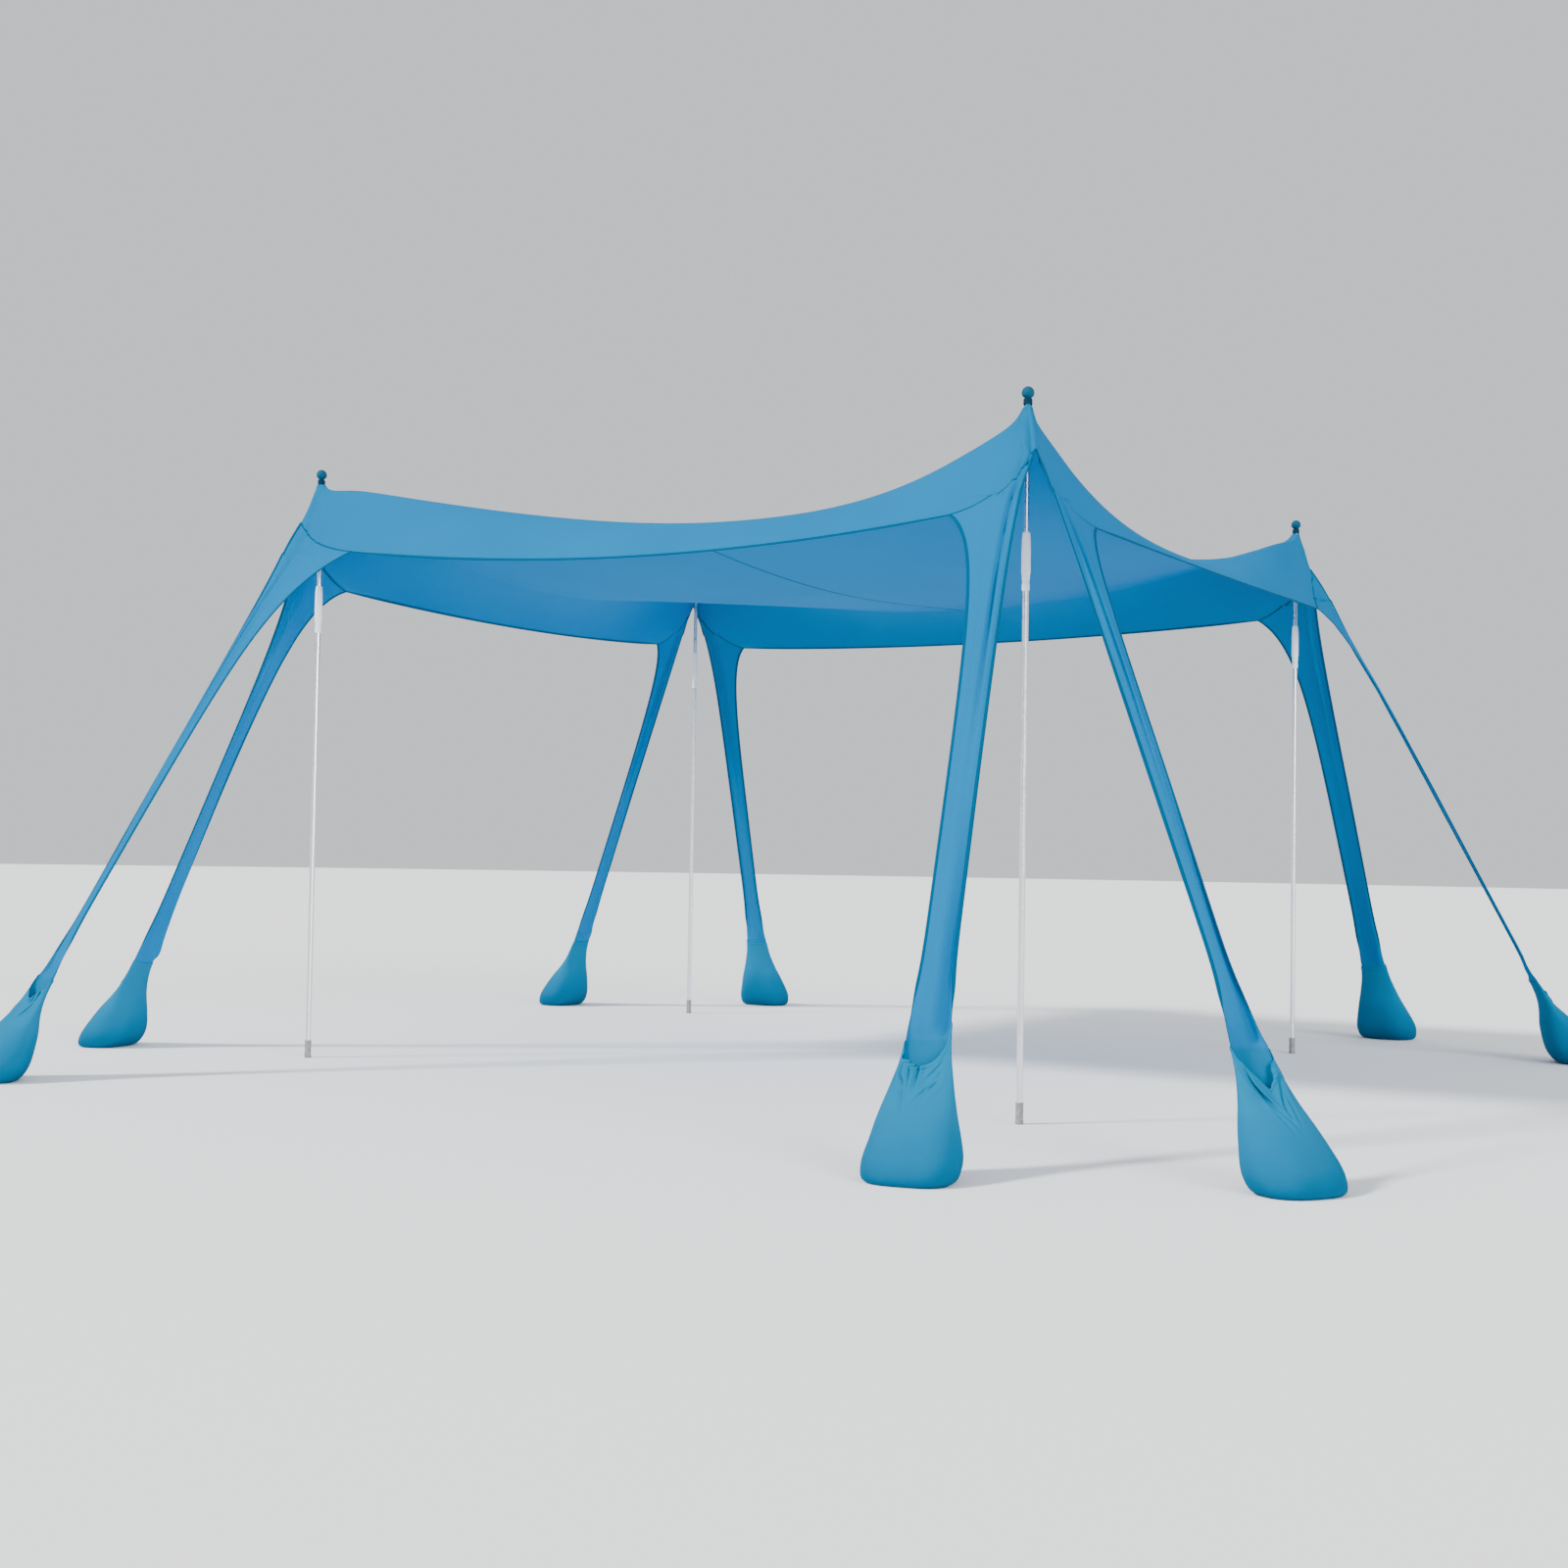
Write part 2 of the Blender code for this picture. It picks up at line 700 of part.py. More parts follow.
def centre_on_floor(floor_centre):
    """Move the whole shelter so that the middle of its footprint is the origin."""
    bpy.context.view_layer.update()
    low = Vector((math.inf, math.inf))
    high = Vector((-math.inf, -math.inf))
    for obj in bpy.data.objects:
        if obj.type != "MESH":
            continue
        for vertex in obj.data.vertices:
            place = obj.matrix_world @ vertex.co
            for axis in (0, 1):
                low[axis] = min(low[axis], place[axis])
                high[axis] = max(high[axis], place[axis])
    floor_centre.location = (-(low.x + high.x) / 2, -(low.y + high.y) / 2, 0.0)


def main():
    clear_scene()
    floor_centre = bpy.data.objects.new("shelter_floor_centre", None)
    bpy.context.scene.collection.objects.link(floor_centre)
    build_canopy(floor_centre)
    for corner, side in POCKETS:
        build_sandbag(corner, side, floor_centre)
    build_poles(floor_centre)
    centre_on_floor(floor_centre)


main()
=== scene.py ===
import math
import random

import bmesh
import bpy
import numpy as np
from mathutils import Matrix, Vector


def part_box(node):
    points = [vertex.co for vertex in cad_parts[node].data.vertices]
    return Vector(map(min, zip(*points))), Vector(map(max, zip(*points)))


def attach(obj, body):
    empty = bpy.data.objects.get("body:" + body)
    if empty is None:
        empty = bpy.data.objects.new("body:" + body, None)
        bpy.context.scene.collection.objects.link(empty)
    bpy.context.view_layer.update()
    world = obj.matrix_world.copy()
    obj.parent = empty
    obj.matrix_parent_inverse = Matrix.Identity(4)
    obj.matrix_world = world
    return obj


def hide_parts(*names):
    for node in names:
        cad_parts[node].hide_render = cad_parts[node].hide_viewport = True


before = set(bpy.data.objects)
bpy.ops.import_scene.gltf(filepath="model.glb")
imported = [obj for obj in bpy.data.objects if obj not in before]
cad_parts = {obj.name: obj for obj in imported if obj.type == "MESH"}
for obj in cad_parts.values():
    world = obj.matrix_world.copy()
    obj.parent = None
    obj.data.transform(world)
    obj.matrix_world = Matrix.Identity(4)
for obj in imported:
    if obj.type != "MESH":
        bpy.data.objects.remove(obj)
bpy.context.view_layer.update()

UP = Vector((0.0, 0.0, 1.0))

CORNERS = {
    "front_right": (1, -1),
    "front_left": (-1, -1),
    "rear_left": (-1, 1),
    "rear_right": (1, 1),
}
SIDES = {
    "front": ("front_left", "front_right", Vector((0, -1, 0))),
    "right": ("front_right", "rear_right", Vector((1, 0, 0))),
    "rear": ("rear_left", "rear_right", Vector((0, 1, 0))),
    "left": ("front_left", "rear_left", Vector((-1, 0, 0))),
}

# Ridges and roof
PEAK_Z = 2.185
RIDGE_SAG = 0.264
RIDGE_SAG_POWER = 2.2
RIDGE_BOW = 0.10
RIDGE_LOW = {"front": 0.66, "right": 0.46, "rear": 0.50, "left": 0.50}
ROOF_CENTRE_Z = 1.860
# Each peak is a steep cone: how far it is drawn down, how fast it starts, how far it reaches
PEAK_CUSP = 0.022
CUSP_START = 0.02
PEAK_CUSP_REACH = 0.13
CUSP_ABOVE_Z = 1.9

# Free edges of the valances
HEM_CORNER_OUT = 0.150
# Where each leg takes over the hem: distance along the side from its pole, and height
HEM_CORNERS = {
    ("front_right", "front"): (0.185, 1.837),
    ("front_right", "right"): (0.190, 1.822),
    ("front_left", "front"): (0.305, 1.885),
    ("front_left", "left"): (0.310, 1.819),
    ("rear_left", "left"): (0.117, 1.830),
    ("rear_left", "rear"): (0.187, 1.823),
    ("rear_right", "rear"): (0.207, 1.842),
    ("rear_right", "right"): (0.176, 1.836),
}
HEM_MIDDLE_OUT = 0.115
HEM_MIDDLE_Z = {"front": 1.793, "right": 1.838, "rear": 1.791, "left": 1.785}
VALANCE_BULGE = 0.014

# Where two legs part below a peak, and the curved seams that join them to the valances
NOTCH_OUT = 0.050
NOTCH_Z = 2.050
SEAM_SAG_OUT = 0.085
# Shares of the hem corner's distance and drop that the seam's middle has reached
SEAM_SAG_ALONG = 0.20
SEAM_SAG_DROP = 0.80
# Cloth nearer to a pole than this, and above this height, is kept outside the pole's top
GATHER_REACH = 1.0
GATHER_ABOVE_Z = 1.5
PEAK_RING_RADIUS = 0.0112
PEAK_LIP_RADIUS = 0.0165
PEAK_LIP_DROP = 0.020

# Legs: a crowned strip with one pleat above, whose lower part folds back to a wedge.
# A spread is the distance over which one shape fades into the next. Where the pleat ends
# and where the wedge starts and how it grows are shares of the leg's length.
LEG_START_Z = 1.950
LEG_CROWN = 0.006
LEG_CREASE_COUNT = 5
LEG_CREASE_HEIGHT = 0.0022
PLEAT_DEPTH = 0.015
PLEAT_TOP_PLACE = 0.80
PLEAT_TOP_SPREAD = 0.22
PLEAT_END = 0.42
PLEAT_END_SPREAD = 0.06
WEDGE_DEPTH = 0.030
WEDGE_START = 0.45
WEDGE_GROWTH = 0.45
CORNER_SPREAD = 0.150
HEM_EDGE_SPREAD = 0.080
SEAM_SPREAD = 0.035
BAG_SPREAD = 0.150
MOUTH_SPREAD = 0.070
INSIDE_SPREAD = 0.025

# Each pocket: distance and bearing from its pole, sideways shift of its pull line at the
# peak, half width of its leg, where across the leg (-1 hem edge, 1 inner edge) its pleat
# runs, and which way and how far its lower part folds back
POCKETS = {
    ("front_right", "front"): (1.165, -78.8, 0.050, 0.041, 0.35, 1.0),
    ("front_right", "right"): (1.290, -33.8, 0.050, 0.029, -0.05, -0.8),
    ("front_left", "front"): (1.239, -102.8, 0.045, 0.028, 0.20, 0.6),
    ("front_left", "left"): (0.925, -168.6, 0.125, 0.036, 0.30, -0.9),
    ("rear_left", "left"): (0.799, 179.9, 0.000, 0.042, 0.00, 0.5),
    ("rear_left", "rear"): (0.738, 91.1, 0.076, 0.040, 0.10, -0.5),
    ("rear_right", "rear"): (1.005, 82.0, 0.040, 0.046, 0.20, 0.7),
    ("rear_right", "right"): (1.136, 20.3, 0.030, 0.048, 0.30, -0.6),
}
BAG_HEIGHT = 0.330
BAG_RIM_HALF_WIDTH = 0.060
BAG_RIM_HALF_DEPTH = 0.037
MOUTH_FRONT = 0.015
MOUTH_BACK = 0.024
SAND_Z = 0.180
BAG_WALL = 0.0022
# Heights from which a pocket's rings start to follow its mouth's edge, and to flatten
BAG_SLACK_Z = 0.15
BAG_SLACK_POWER = 1.4
BAG_FLATTENS_Z = 0.14
# Its base is nearly rectangular, and it is an oval from this height on
BASE_SQUARENESS = 0.78
BAG_ROUND_Z = 0.20
# How round, and how sharply drawn, the lowest place of a mouth's front edge is
MOUTH_TIP_ROUND = 0.08
MOUTH_TIP_POWER = 1.15
# How far a leg reaches down inside its pocket, and where it narrows to slip in
LEG_TUCK = 0.125
TUCK_INSET = 0.0036
TUCK_ABOVE = 0.17
TUCK_LENGTH = 0.11
WRINKLE_DEPTH = 0.0056
# Each mouth: how far its front edge lies below its back edge, how much further it hangs
# and where, how far its inner end reaches up, and how deep its gathers are
MOUTHS = {
    ("front_right", "front"): (0.040, 0.020, 0.30, 0.050, 0.0130),
    ("front_right", "right"): (0.020, 0.072, 0.15, 0.010, 0.0060),
}
PLAIN_MOUTH = (0.025, 0.035, 0.00, 0.015, 0.0060)
# Height, half width and half depth of a filled pocket
BAG_LEVELS = (
    (0.000, 0.104, 0.076),
    (0.008, 0.117, 0.090),
    (0.028, 0.125, 0.100),
    (0.060, 0.127, 0.101),
    (0.105, 0.117, 0.091),
    (0.165, 0.100, 0.072),
    (0.225, 0.082, 0.054),
    (0.280, 0.067, 0.042),
    (BAG_HEIGHT, BAG_RIM_HALF_WIDTH, BAG_RIM_HALF_DEPTH),
)

# Cloth, hems and thread
CLOTH_THICKNESS = 0.0016
HEM_HALF_WIDTH = 0.0055
HEM_HALF_HEIGHT = 0.0021
# Heights between which a leg's hem thins out, down to a share of its full size
HEM_THIN_SHARE = 0.22
HEM_THINS_BELOW = BAG_HEIGHT + 0.155
HEM_THINNEST_BELOW = BAG_HEIGHT + 0.055
SEAM_HALF_WIDTH = 0.0048
SEAM_HALF_HEIGHT = 0.0017
STITCH_PITCH = 0.0052
STITCH_LENGTH = 0.0036
STITCH_RADIUS = 0.00036

# Mesh steps
SIDE_STEPS = 100
SIDE_GRADING = 1.9
LIP_ROWS = 3
GATHER_ROWS = 6
SEAM_ROWS = 22
LEG_STEPS = 110
LEG_GRADING = 1.2
BAG_SIDES = 160
HEM_SIDES = 8


# Places taken from the frame

def pole_place(corner):
    low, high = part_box("pole_foot_" + corner)
    return Vector(((low[0] + high[0]) / 2, (low[1] + high[1]) / 2, 0.0))


POLE = {corner: pole_place(corner) for corner in CORNERS}


def outward(corner):
    sign_x, sign_y = CORNERS[corner]
    return Vector((sign_x, sign_y, 0.0)).normalized()


def inward_along(side, corner):
    """Unit vector along a side, from the given corner towards the other one."""
    start, end, _ = SIDES[side]
    direction = (POLE[end] - POLE[start]).normalized()
    return direction if start == corner else -direction


# Shape of the stretched sheet

def graded(step):
    """Place of a mesh step along a side, with steps drawn together towards both poles."""
    half = SIDE_STEPS / 2
    if step <= half:
        return 0.5 * (step / half) ** SIDE_GRADING
    return 1.0 - graded(SIDE_STEPS - step)


def arch(t):
    """0 at both ends of a span and 1 in its middle."""
    return 1.0 - (2.0 * t - 1.0) ** 2


def lopsided(t, low):
    """Distance from the lowest place of a span: 0 there and 1 at both of its ends."""
    share = (1.0 - low) / low
    eased = t * share / (1.0 - t + t * share)
    return abs(2.0 * eased - 1.0)


def ridge_point(side, t):
    start, end, out = SIDES[side]
    point = POLE[start].lerp(POLE[end], t)
    point -= out * RIDGE_BOW * arch(t) ** 2
    point.z = PEAK_Z - RIDGE_SAG * (1.0 - lopsided(t, RIDGE_LOW[side]) ** RIDGE_SAG_POWER)
    return point


def corner_point(corner, side, out_by, along_by, z):
    point = POLE[corner] + SIDES[side][2] * out_by + inward_along(side, corner) * along_by
    point.z = z
    return point


def hem_corner(corner, side):
    along, z = HEM_CORNERS[(corner, side)]
    return corner_point(corner, side, HEM_CORNER_OUT, along, z)


def hem_point(side, t):
    start, end, out = SIDES[side]
    first = hem_corner(start, side)
    last = hem_corner(end, side)
    point = first.lerp(last, t)
    point -= out * (HEM_CORNER_OUT - HEM_MIDDLE_OUT) * arch(t)
    point.z += (HEM_MIDDLE_Z[side] - (first.z + last.z) / 2) * arch(t)
    return point


def seam_point(corner, side, k):
    """The sewn line from the notch between two legs to the corner of the hem."""
    sign_x, sign_y = CORNERS[corner]
    first = POLE[corner] + Vector((sign_x * NOTCH_OUT, sign_y * NOTCH_OUT, NOTCH_Z))
    last = hem_corner(corner, side)
    along = HEM_CORNERS[(corner, side)][0] * SEAM_SAG_ALONG
    middle_z = first.z + (last.z - first.z) * SEAM_SAG_DROP
    middle = corner_point(corner, side, SEAM_SAG_OUT, along, middle_z)
    return first.lerp(middle, k).lerp(middle.lerp(last, k), k)


def valance_end(corner, side):
    """Points down the end of a valance, with the share of its depth at each."""
    towards_panel = (inward_along(side, corner) + outward(corner)).normalized()
    points = [(0.0, POLE[corner] + towards_panel * PEAK_RING_RADIUS + UP * PEAK_Z)]
    ring = POLE[corner] + outward(corner) * PEAK_RING_RADIUS + UP * (PEAK_Z - 0.0005)
    lip = POLE[corner] + outward(corner) * PEAK_LIP_RADIUS + UP * (PEAK_Z - PEAK_LIP_DROP)
    notch = seam_point(corner, side, 0.0)
    for n in range(LIP_ROWS):
        points.append(((n + 0.5) / LIP_ROWS / 6, ring.lerp(lip, n / LIP_ROWS)))
    for n in range(GATHER_ROWS):
        points.append(((1 + n / GATHER_ROWS) / 6, lip.lerp(notch, n / GATHER_ROWS)))
    for n in range(SEAM_ROWS + 1):
        points.append(((2 + 4 * n / SEAM_ROWS) / 6, seam_point(corner, side, n / SEAM_ROWS)))
    return points


def valance_grid(side):
    """Rows of points from ridge to hem, each running the length of the side."""
    start, end, out = SIDES[side]
    ends = (valance_end(start, side), valance_end(end, side))
    span = (POLE[end] - POLE[start]).length
    rows = []
    for row, (k, _) in enumerate(ends[0]):
        line = []
        for step in range(SIDE_STEPS + 1):
            t = graded(step)
            point = ridge_point(side, t).lerp(hem_point(side, t), k)
            point += (out + UP) * VALANCE_BULGE * 4 * k * (1 - k) * arch(t)
            for end_points, place in ((ends[0], 0.0), (ends[1], 1.0)):
                away = abs(t - place) * span
                fade = math.exp(-((away / CORNER_SPREAD) ** 2))
                straight = ridge_point(side, place).lerp(hem_point(side, place), k)
                if row > 0 or step in (0, SIDE_STEPS):
                    point += (end_points[row][1] - straight) * fade
            line.append(point)
        rows.append(line)
    return rows


def settle(edge_heights, steps, centre_z):
    """Heights of an evenly stretched sheet between given edges, with its own weight."""
    wide = (steps[:-1] + steps[1:]) / 2
    inner = len(wide)
    stiff = np.diag(1 / steps[:-1] + 1 / steps[1:])
    stiff -= np.diag(1 / steps[1:-1], 1) + np.diag(1 / steps[1:-1], -1)
    root = np.sqrt(wide)
    values, modes = np.linalg.eigh(stiff / np.outer(root, root))
    pull = np.zeros((inner, inner))
    pull[0, :] += wide * edge_heights[0, 1:-1] / steps[0]
    pull[-1, :] += wide * edge_heights[-1, 1:-1] / steps[-1]
    pull[:, 0] += wide * edge_heights[1:-1, 0] / steps[0]
    pull[:, -1] += wide * edge_heights[1:-1, -1] / steps[-1]

    def solve(load):
        spread = modes.T @ (load / np.outer(root, root)) @ modes
        spread /= values[:, None] + values[None, :]
        return (modes @ spread @ modes.T) / np.outer(root, root)

    taut = solve(pull)
    drop = solve(np.outer(wide, wide))
    middle = inner // 2
    weight = (taut[middle, middle] - centre_z) / drop[middle, middle]
    heights = edge_heights.copy()
    heights[1:-1, 1:-1] = taut - weight * drop
    return heights


def roof_grid():
    count = SIDE_STEPS + 1
    places = np.array([graded(n) for n in range(count)])
    edges = {side: [ridge_point(side, t) for t in places] for side in SIDES}
    heights = np.zeros((count, count))
    heights[:, 0] = [point.z for point in edges["front"]]
    heights[:, -1] = [point.z for point in edges["rear"]]
    heights[0, :] = [point.z for point in edges["left"]]
    heights[-1, :] = [point.z for point in edges["right"]]
    heights = settle(heights, np.diff(places), ROOF_CENTRE_Z)
    grid = []
    for i, u in enumerate(places):
        line = []
        for j, v in enumerate(places):
            front = POLE["front_left"].lerp(POLE["front_right"], u)
            rear = POLE["rear_left"].lerp(POLE["rear_right"], u)
            bow_x = (1 - 2 * u) * RIDGE_BOW * arch(v) ** 2
            bow_y = (1 - 2 * v) * RIDGE_BOW * arch(u) ** 2
            line.append(front.lerp(rear, v) + Vector((bow_x, bow_y, heights[i, j])))
        grid.append(line)
    for n in range(count):
        grid[n][0] = edges["front"][n].copy()
        grid[n][-1] = edges["rear"][n].copy()
        grid[0][n] = edges["left"][n].copy()
        grid[-1][n] = edges["right"][n].copy()
    for corner, (sign_x, sign_y) in CORNERS.items():
        place = POLE[corner] - outward(corner) * PEAK_RING_RADIUS
        place.z = PEAK_Z
        grid[-1 if sign_x > 0 else 0][-1 if sign_y > 0 else 0] = place
    return grid


def leg_frame(corner, side):
    """Where the leg's pull line passes the peak and meets the ground, and its directions."""
    distance, bearing, shift = POCKETS[(corner, side)][:3]
    angle = math.radians(bearing)
    away = Vector((math.cos(angle), math.sin(angle), 0.0))
    across = Vector((-away.y, away.x, 0.0))
    towards_valance = inward_along(side, corner)
    if across.dot(towards_valance) < 0:
        across = -across
    peak = POLE[corner] + towards_valance * shift + UP * PEAK_Z
    base = POLE[corner] + away * distance
    return peak, base, across, away


def leg_axis(corner, side, z):
    peak, base, _, _ = leg_frame(corner, side)
    return base.lerp(peak, z / PEAK_Z)


def leg_creases(corner, side):
    """Long soft creases down a leg: place, lean, width and height of each."""
    draw = random.Random("leg " + corner + " " + side)
    return [(draw.uniform(-0.8, 0.8), draw.uniform(-0.12, 0.12), draw.uniform(0.08, 0.2),
             draw.uniform(-LEG_CREASE_HEIGHT, LEG_CREASE_HEIGHT)) for _ in range(LEG_CREASE_COUNT)]


def step_up(share):
    share = min(1.0, max(0.0, share))
    return share * share * (3 - 2 * share)


def pleat_shape(gap):
    """A narrow groove with a soft ridge on both sides."""
    return math.exp(-((gap / 0.11) ** 2)) - 0.4 * math.exp(-(((abs(gap) - 0.32) / 0.16) ** 2))


def folded_back(place):
    """The part of a leg that turns back from its crest, with its edge curling out again."""
    return step_up((place - 0.05) / 0.75) - 0.55 * step_up((place - 0.80) / 0.20)


def leg_grid(corner, side):
    """Rows of points down a leg, from its inner edge to its hem edge."""
    _, _, across, away = leg_frame(corner, side)
    strip_half, low_pleat, wedge = POCKETS[(corner, side)][3:]
    marks = leg_creases(corner, side)
    top = leg_axis(corner, side, LEG_START_Z)
    bottom = leg_axis(corner, side, BAG_HEIGHT - LEG_TUCK)
    length = (top - bottom).length
    to_mouth = length - LEG_TUCK * length / (top.z - bottom.z)
    rows = []
    for row in range(SEAM_ROWS + 1):
        k = row / SEAM_ROWS
        spread = CORNER_SPREAD + HEM_EDGE_SPREAD * k
        angle = math.pi * k
        place = math.cos(angle)
        hollow = math.sin(angle) * MOUTH_BACK
        line = []
        for step in range(LEG_STEPS + 1):
            run = (step / LEG_STEPS) ** LEG_GRADING * length
            near_top = math.exp(-run / spread) if step < LEG_STEPS else 0.0
            left = max(0.0, to_mouth - run)
            near_bag = math.exp(-((left / BAG_SPREAD) ** 2))
            near_mouth = math.exp(-((left / MOUTH_SPREAD) ** 2))
            inside = math.exp(-((left / INSIDE_SPREAD) ** 2))
            tucked = TUCK_INSET * step_up((run - to_mouth + TUCK_ABOVE) / TUCK_LENGTH)
            half = strip_half + (BAG_RIM_HALF_WIDTH - strip_half) * near_bag - tucked
            share = run / length
            raised = LEG_CROWN * (1 - place * place)
            pleat = low_pleat + (PLEAT_TOP_PLACE - low_pleat) * math.exp(-run / PLEAT_TOP_SPREAD)
            pleated = 1 / (1 + math.exp((share - PLEAT_END) / PLEAT_END_SPREAD))
            raised -= PLEAT_DEPTH * pleat_shape(place - pleat) * pleated
            turned = folded_back(place * math.copysign(1, wedge)) * abs(wedge)
            raised -= WEDGE_DEPTH * turned * step_up((share - WEDGE_START) / WEDGE_GROWTH)
            for spot, lean, width, high in marks:
                off = (place - spot - lean * run) / width
                raised += high * math.exp(-off * off)
            back = hollow * near_mouth * (1 - tucked / MOUTH_BACK)
            section = -across * half * place - away * back
            centre = top.lerp(bottom, share)
            from_seam = seam_point(corner, side, k) - top
            held = near_top * math.exp(-run / SEAM_SPREAD) if step else 1.0
            point = centre + section.lerp(from_seam, near_top)
            line.append(point + away * raised * (1 - held) * (1 - inside))
        rows.append(line)
    return rows


# Creases

def peak_creases(corner):
    """Bearings, strengths and widths of the creases round a peak, the same on every run."""
    draw = random.Random("peak " + corner)
    return [(draw.uniform(-math.pi, math.pi), draw.uniform(-1.0, 1.0), draw.uniform(0.03, 0.10))
            for _ in range(PEAK_CREASE_COUNT)]


def crease_height(angle, marks):
    """Height of the creases round a peak, as a share, at one bearing."""
    height = 0.0
    for where, strength, width in marks:
        gap = (angle - where + math.pi) % (2 * math.pi) - math.pi
        height += strength * math.exp(-((gap / width) ** 2))
    return height


PEAK_CREASE_COUNT = 30
PEAK_CREASES = {corner: peak_creases(corner) for corner in CORNERS}
PEAK_CREASE_HEIGHT = 0.0050
PEAK_CREASE_REACH = 0.30
PEAK_SMOOTH_REACH = 0.09
# Sharp folds from a peak into a leg: the leg, where each crosses its seam, and its height
PEAK_FOLDS = (
    ("front_right", "front", 0.10, 0.0095),
    ("front_right", "front", 0.26, 0.0060),
    ("front_right", "right", 0.12, 0.0065),
    ("front_left", "front", 0.18, 0.0050),
    ("front_left", "front", 0.42, 0.0035),
    ("front_left", "left", 0.15, 0.0050),
    ("rear_left", "left", 0.15, 0.0050),
    ("rear_left", "rear", 0.20, 0.0050),
    ("rear_right", "rear", 0.12, 0.0060),
    ("rear_right", "right", 0.20, 0.0045),
)


def near_peak(point):
    """The nearest pole, and the distance of a point from its top."""
    corner = min(CORNERS, key=lambda name: (point - POLE[name] - UP * PEAK_Z).length)
    return corner, (point - POLE[corner] - UP * PEAK_Z).length


def gather_round_pole(point):
    """Keep the cloth outside the pole top, and draw it down steeply around it."""
    corner, _ = near_peak(point)
    side_step = point - POLE[corner]
    side_step.z = 0.0
    reach = side_step.length
    if 1e-6 < reach < GATHER_REACH and point.z > GATHER_ABOVE_Z:
        kept = math.sqrt(reach ** 2 + PEAK_RING_RADIUS ** 2)
        if reach < PEAK_RING_RADIUS * 1.02:
            kept = max(PEAK_RING_RADIUS, reach)
        point = POLE[corner] + side_step * (kept / reach) + UP * point.z
    if point.z > CUSP_ABOVE_Z:
        beyond = max(reach - PEAK_RING_RADIUS, 0.0)
        cone = 1 - math.exp(-beyond / CUSP_START)
        point.z -= PEAK_CUSP * cone * math.exp(-((beyond / PEAK_CUSP_REACH) ** 2))
    return point


def peak_crease(point):
    corner, reach = near_peak(point)
    if reach > 4 * PEAK_CREASE_REACH:
        return 0.0
    angle = math.atan2(point.y - POLE[corner].y, point.x - POLE[corner].x)
    strength = PEAK_CREASE_HEIGHT * math.exp(-reach / PEAK_CREASE_REACH)
    strength *= 1 - math.exp(-reach / PEAK_SMOOTH_REACH)
    return strength * crease_height(angle, PEAK_CREASES[corner])


def peak_folds():
    """Start, crossing and end of each sharp fold near a peak."""
    lines = []
    for corner, side, k, height in PEAK_FOLDS:
        crossing = gather_round_pole(seam_point(corner, side, k))
        start = POLE[corner] + UP * (PEAK_Z - 0.004)
        start += (crossing - start).normalized() * 0.012
        grid = leg_grid(corner, side)
        row = min(range(SEAM_ROWS + 1), key=lambda n: abs(n / SEAM_ROWS - k - 0.08))
        lines.append((start, crossing, grid[row][LEG_STEPS // 5], height))
    return lines


def groove(gap, width, shoulder, shoulder_width):
    """A sharp groove with half as high a shoulder beside it."""
    return math.exp(-((gap / width) ** 2)) - 0.5 * math.exp(-(((gap - shoulder) / shoulder_width) ** 2))


def cloth_rise(point):
    """How far creases and sharp folds lift the cloth at a place."""
    rise = peak_crease(point)
    for start, crossing, end, height in FOLD_LINES:
        if (point - crossing).length > 0.45:
            continue
        for first, last, grows in ((start, crossing, True), (crossing, end, False)):
            run = last - first
            share = (point - first).dot(run) / run.length_squared
            if 0.0 <= share < 1.0:
                gap = (point - first - run * share).length
                strength = min(1.0, share * 3.0) if grows else (1 - share) ** 2
                rise -= height * strength * groove(gap, 0.007, 0.014, 0.008)
    return rise


FOLD_LINES = peak_folds()


# Meshes from grids

def oriented(grid, wanted):
    """Turn a grid over where its faces would point into the shelter."""
    i, j = len(grid) // 2, len(grid[0]) // 2
    normal = (grid[i][j] - grid[i - 1][j - 1]).cross(grid[i - 1][j] - grid[i][j - 1])
    if normal.dot(wanted) < 0:
        return [list(line) for line in zip(*grid)]
    return grid


def cloth_lengths(grid):
    """Distance of each point along its row and down its column, in metres."""
    points = np.array([[tuple(point) for point in line] for line in grid])
    along = np.linalg.norm(np.diff(points, axis=1), axis=2)
    down = np.linalg.norm(np.diff(points, axis=0), axis=2)
    along = np.hstack([np.zeros((len(grid), 1)), np.cumsum(along, axis=1)])
    down = np.vstack([np.zeros((1, len(grid[0]))), np.cumsum(down, axis=0)])
    return along, down


def weld_grids(name, grids):
    """One mesh from several grids, joined wherever their edges meet."""
    index_at, points, faces, flat_places = {}, [], [], []
    for grid in grids:
        along, down = cloth_lengths(grid)
        index = []
        for line in grid:
            row = []
            for point in line:
                tag = tuple(round(value, 5) for value in point)
                if tag not in index_at:
                    index_at[tag] = len(points)
                    points.append(point)
                row.append(index_at[tag])
            index.append(row)
        for i in range(len(grid) - 1):
            for j in range(len(grid[0]) - 1):
                places = ((i, j), (i + 1, j), (i + 1, j + 1), (i, j + 1))
                face = {}
                for a, b in places:
                    face.setdefault(index[a][b], (along[a, b], down[a, b]))
                if len(face) > 2:
                    faces.append(tuple(face))
                    flat_places.extend(face.values())
    mesh = bpy.data.meshes.new(name)
    mesh.from_pydata([tuple(point) for point in points], [], faces)
    flat = mesh.uv_layers.new(name="cloth")
    flat.data.foreach_set("uv", [value for place in flat_places for value in place])
    mesh.polygons.foreach_set("use_smooth", [True] * len(mesh.polygons))
    mesh.update()
    return mesh


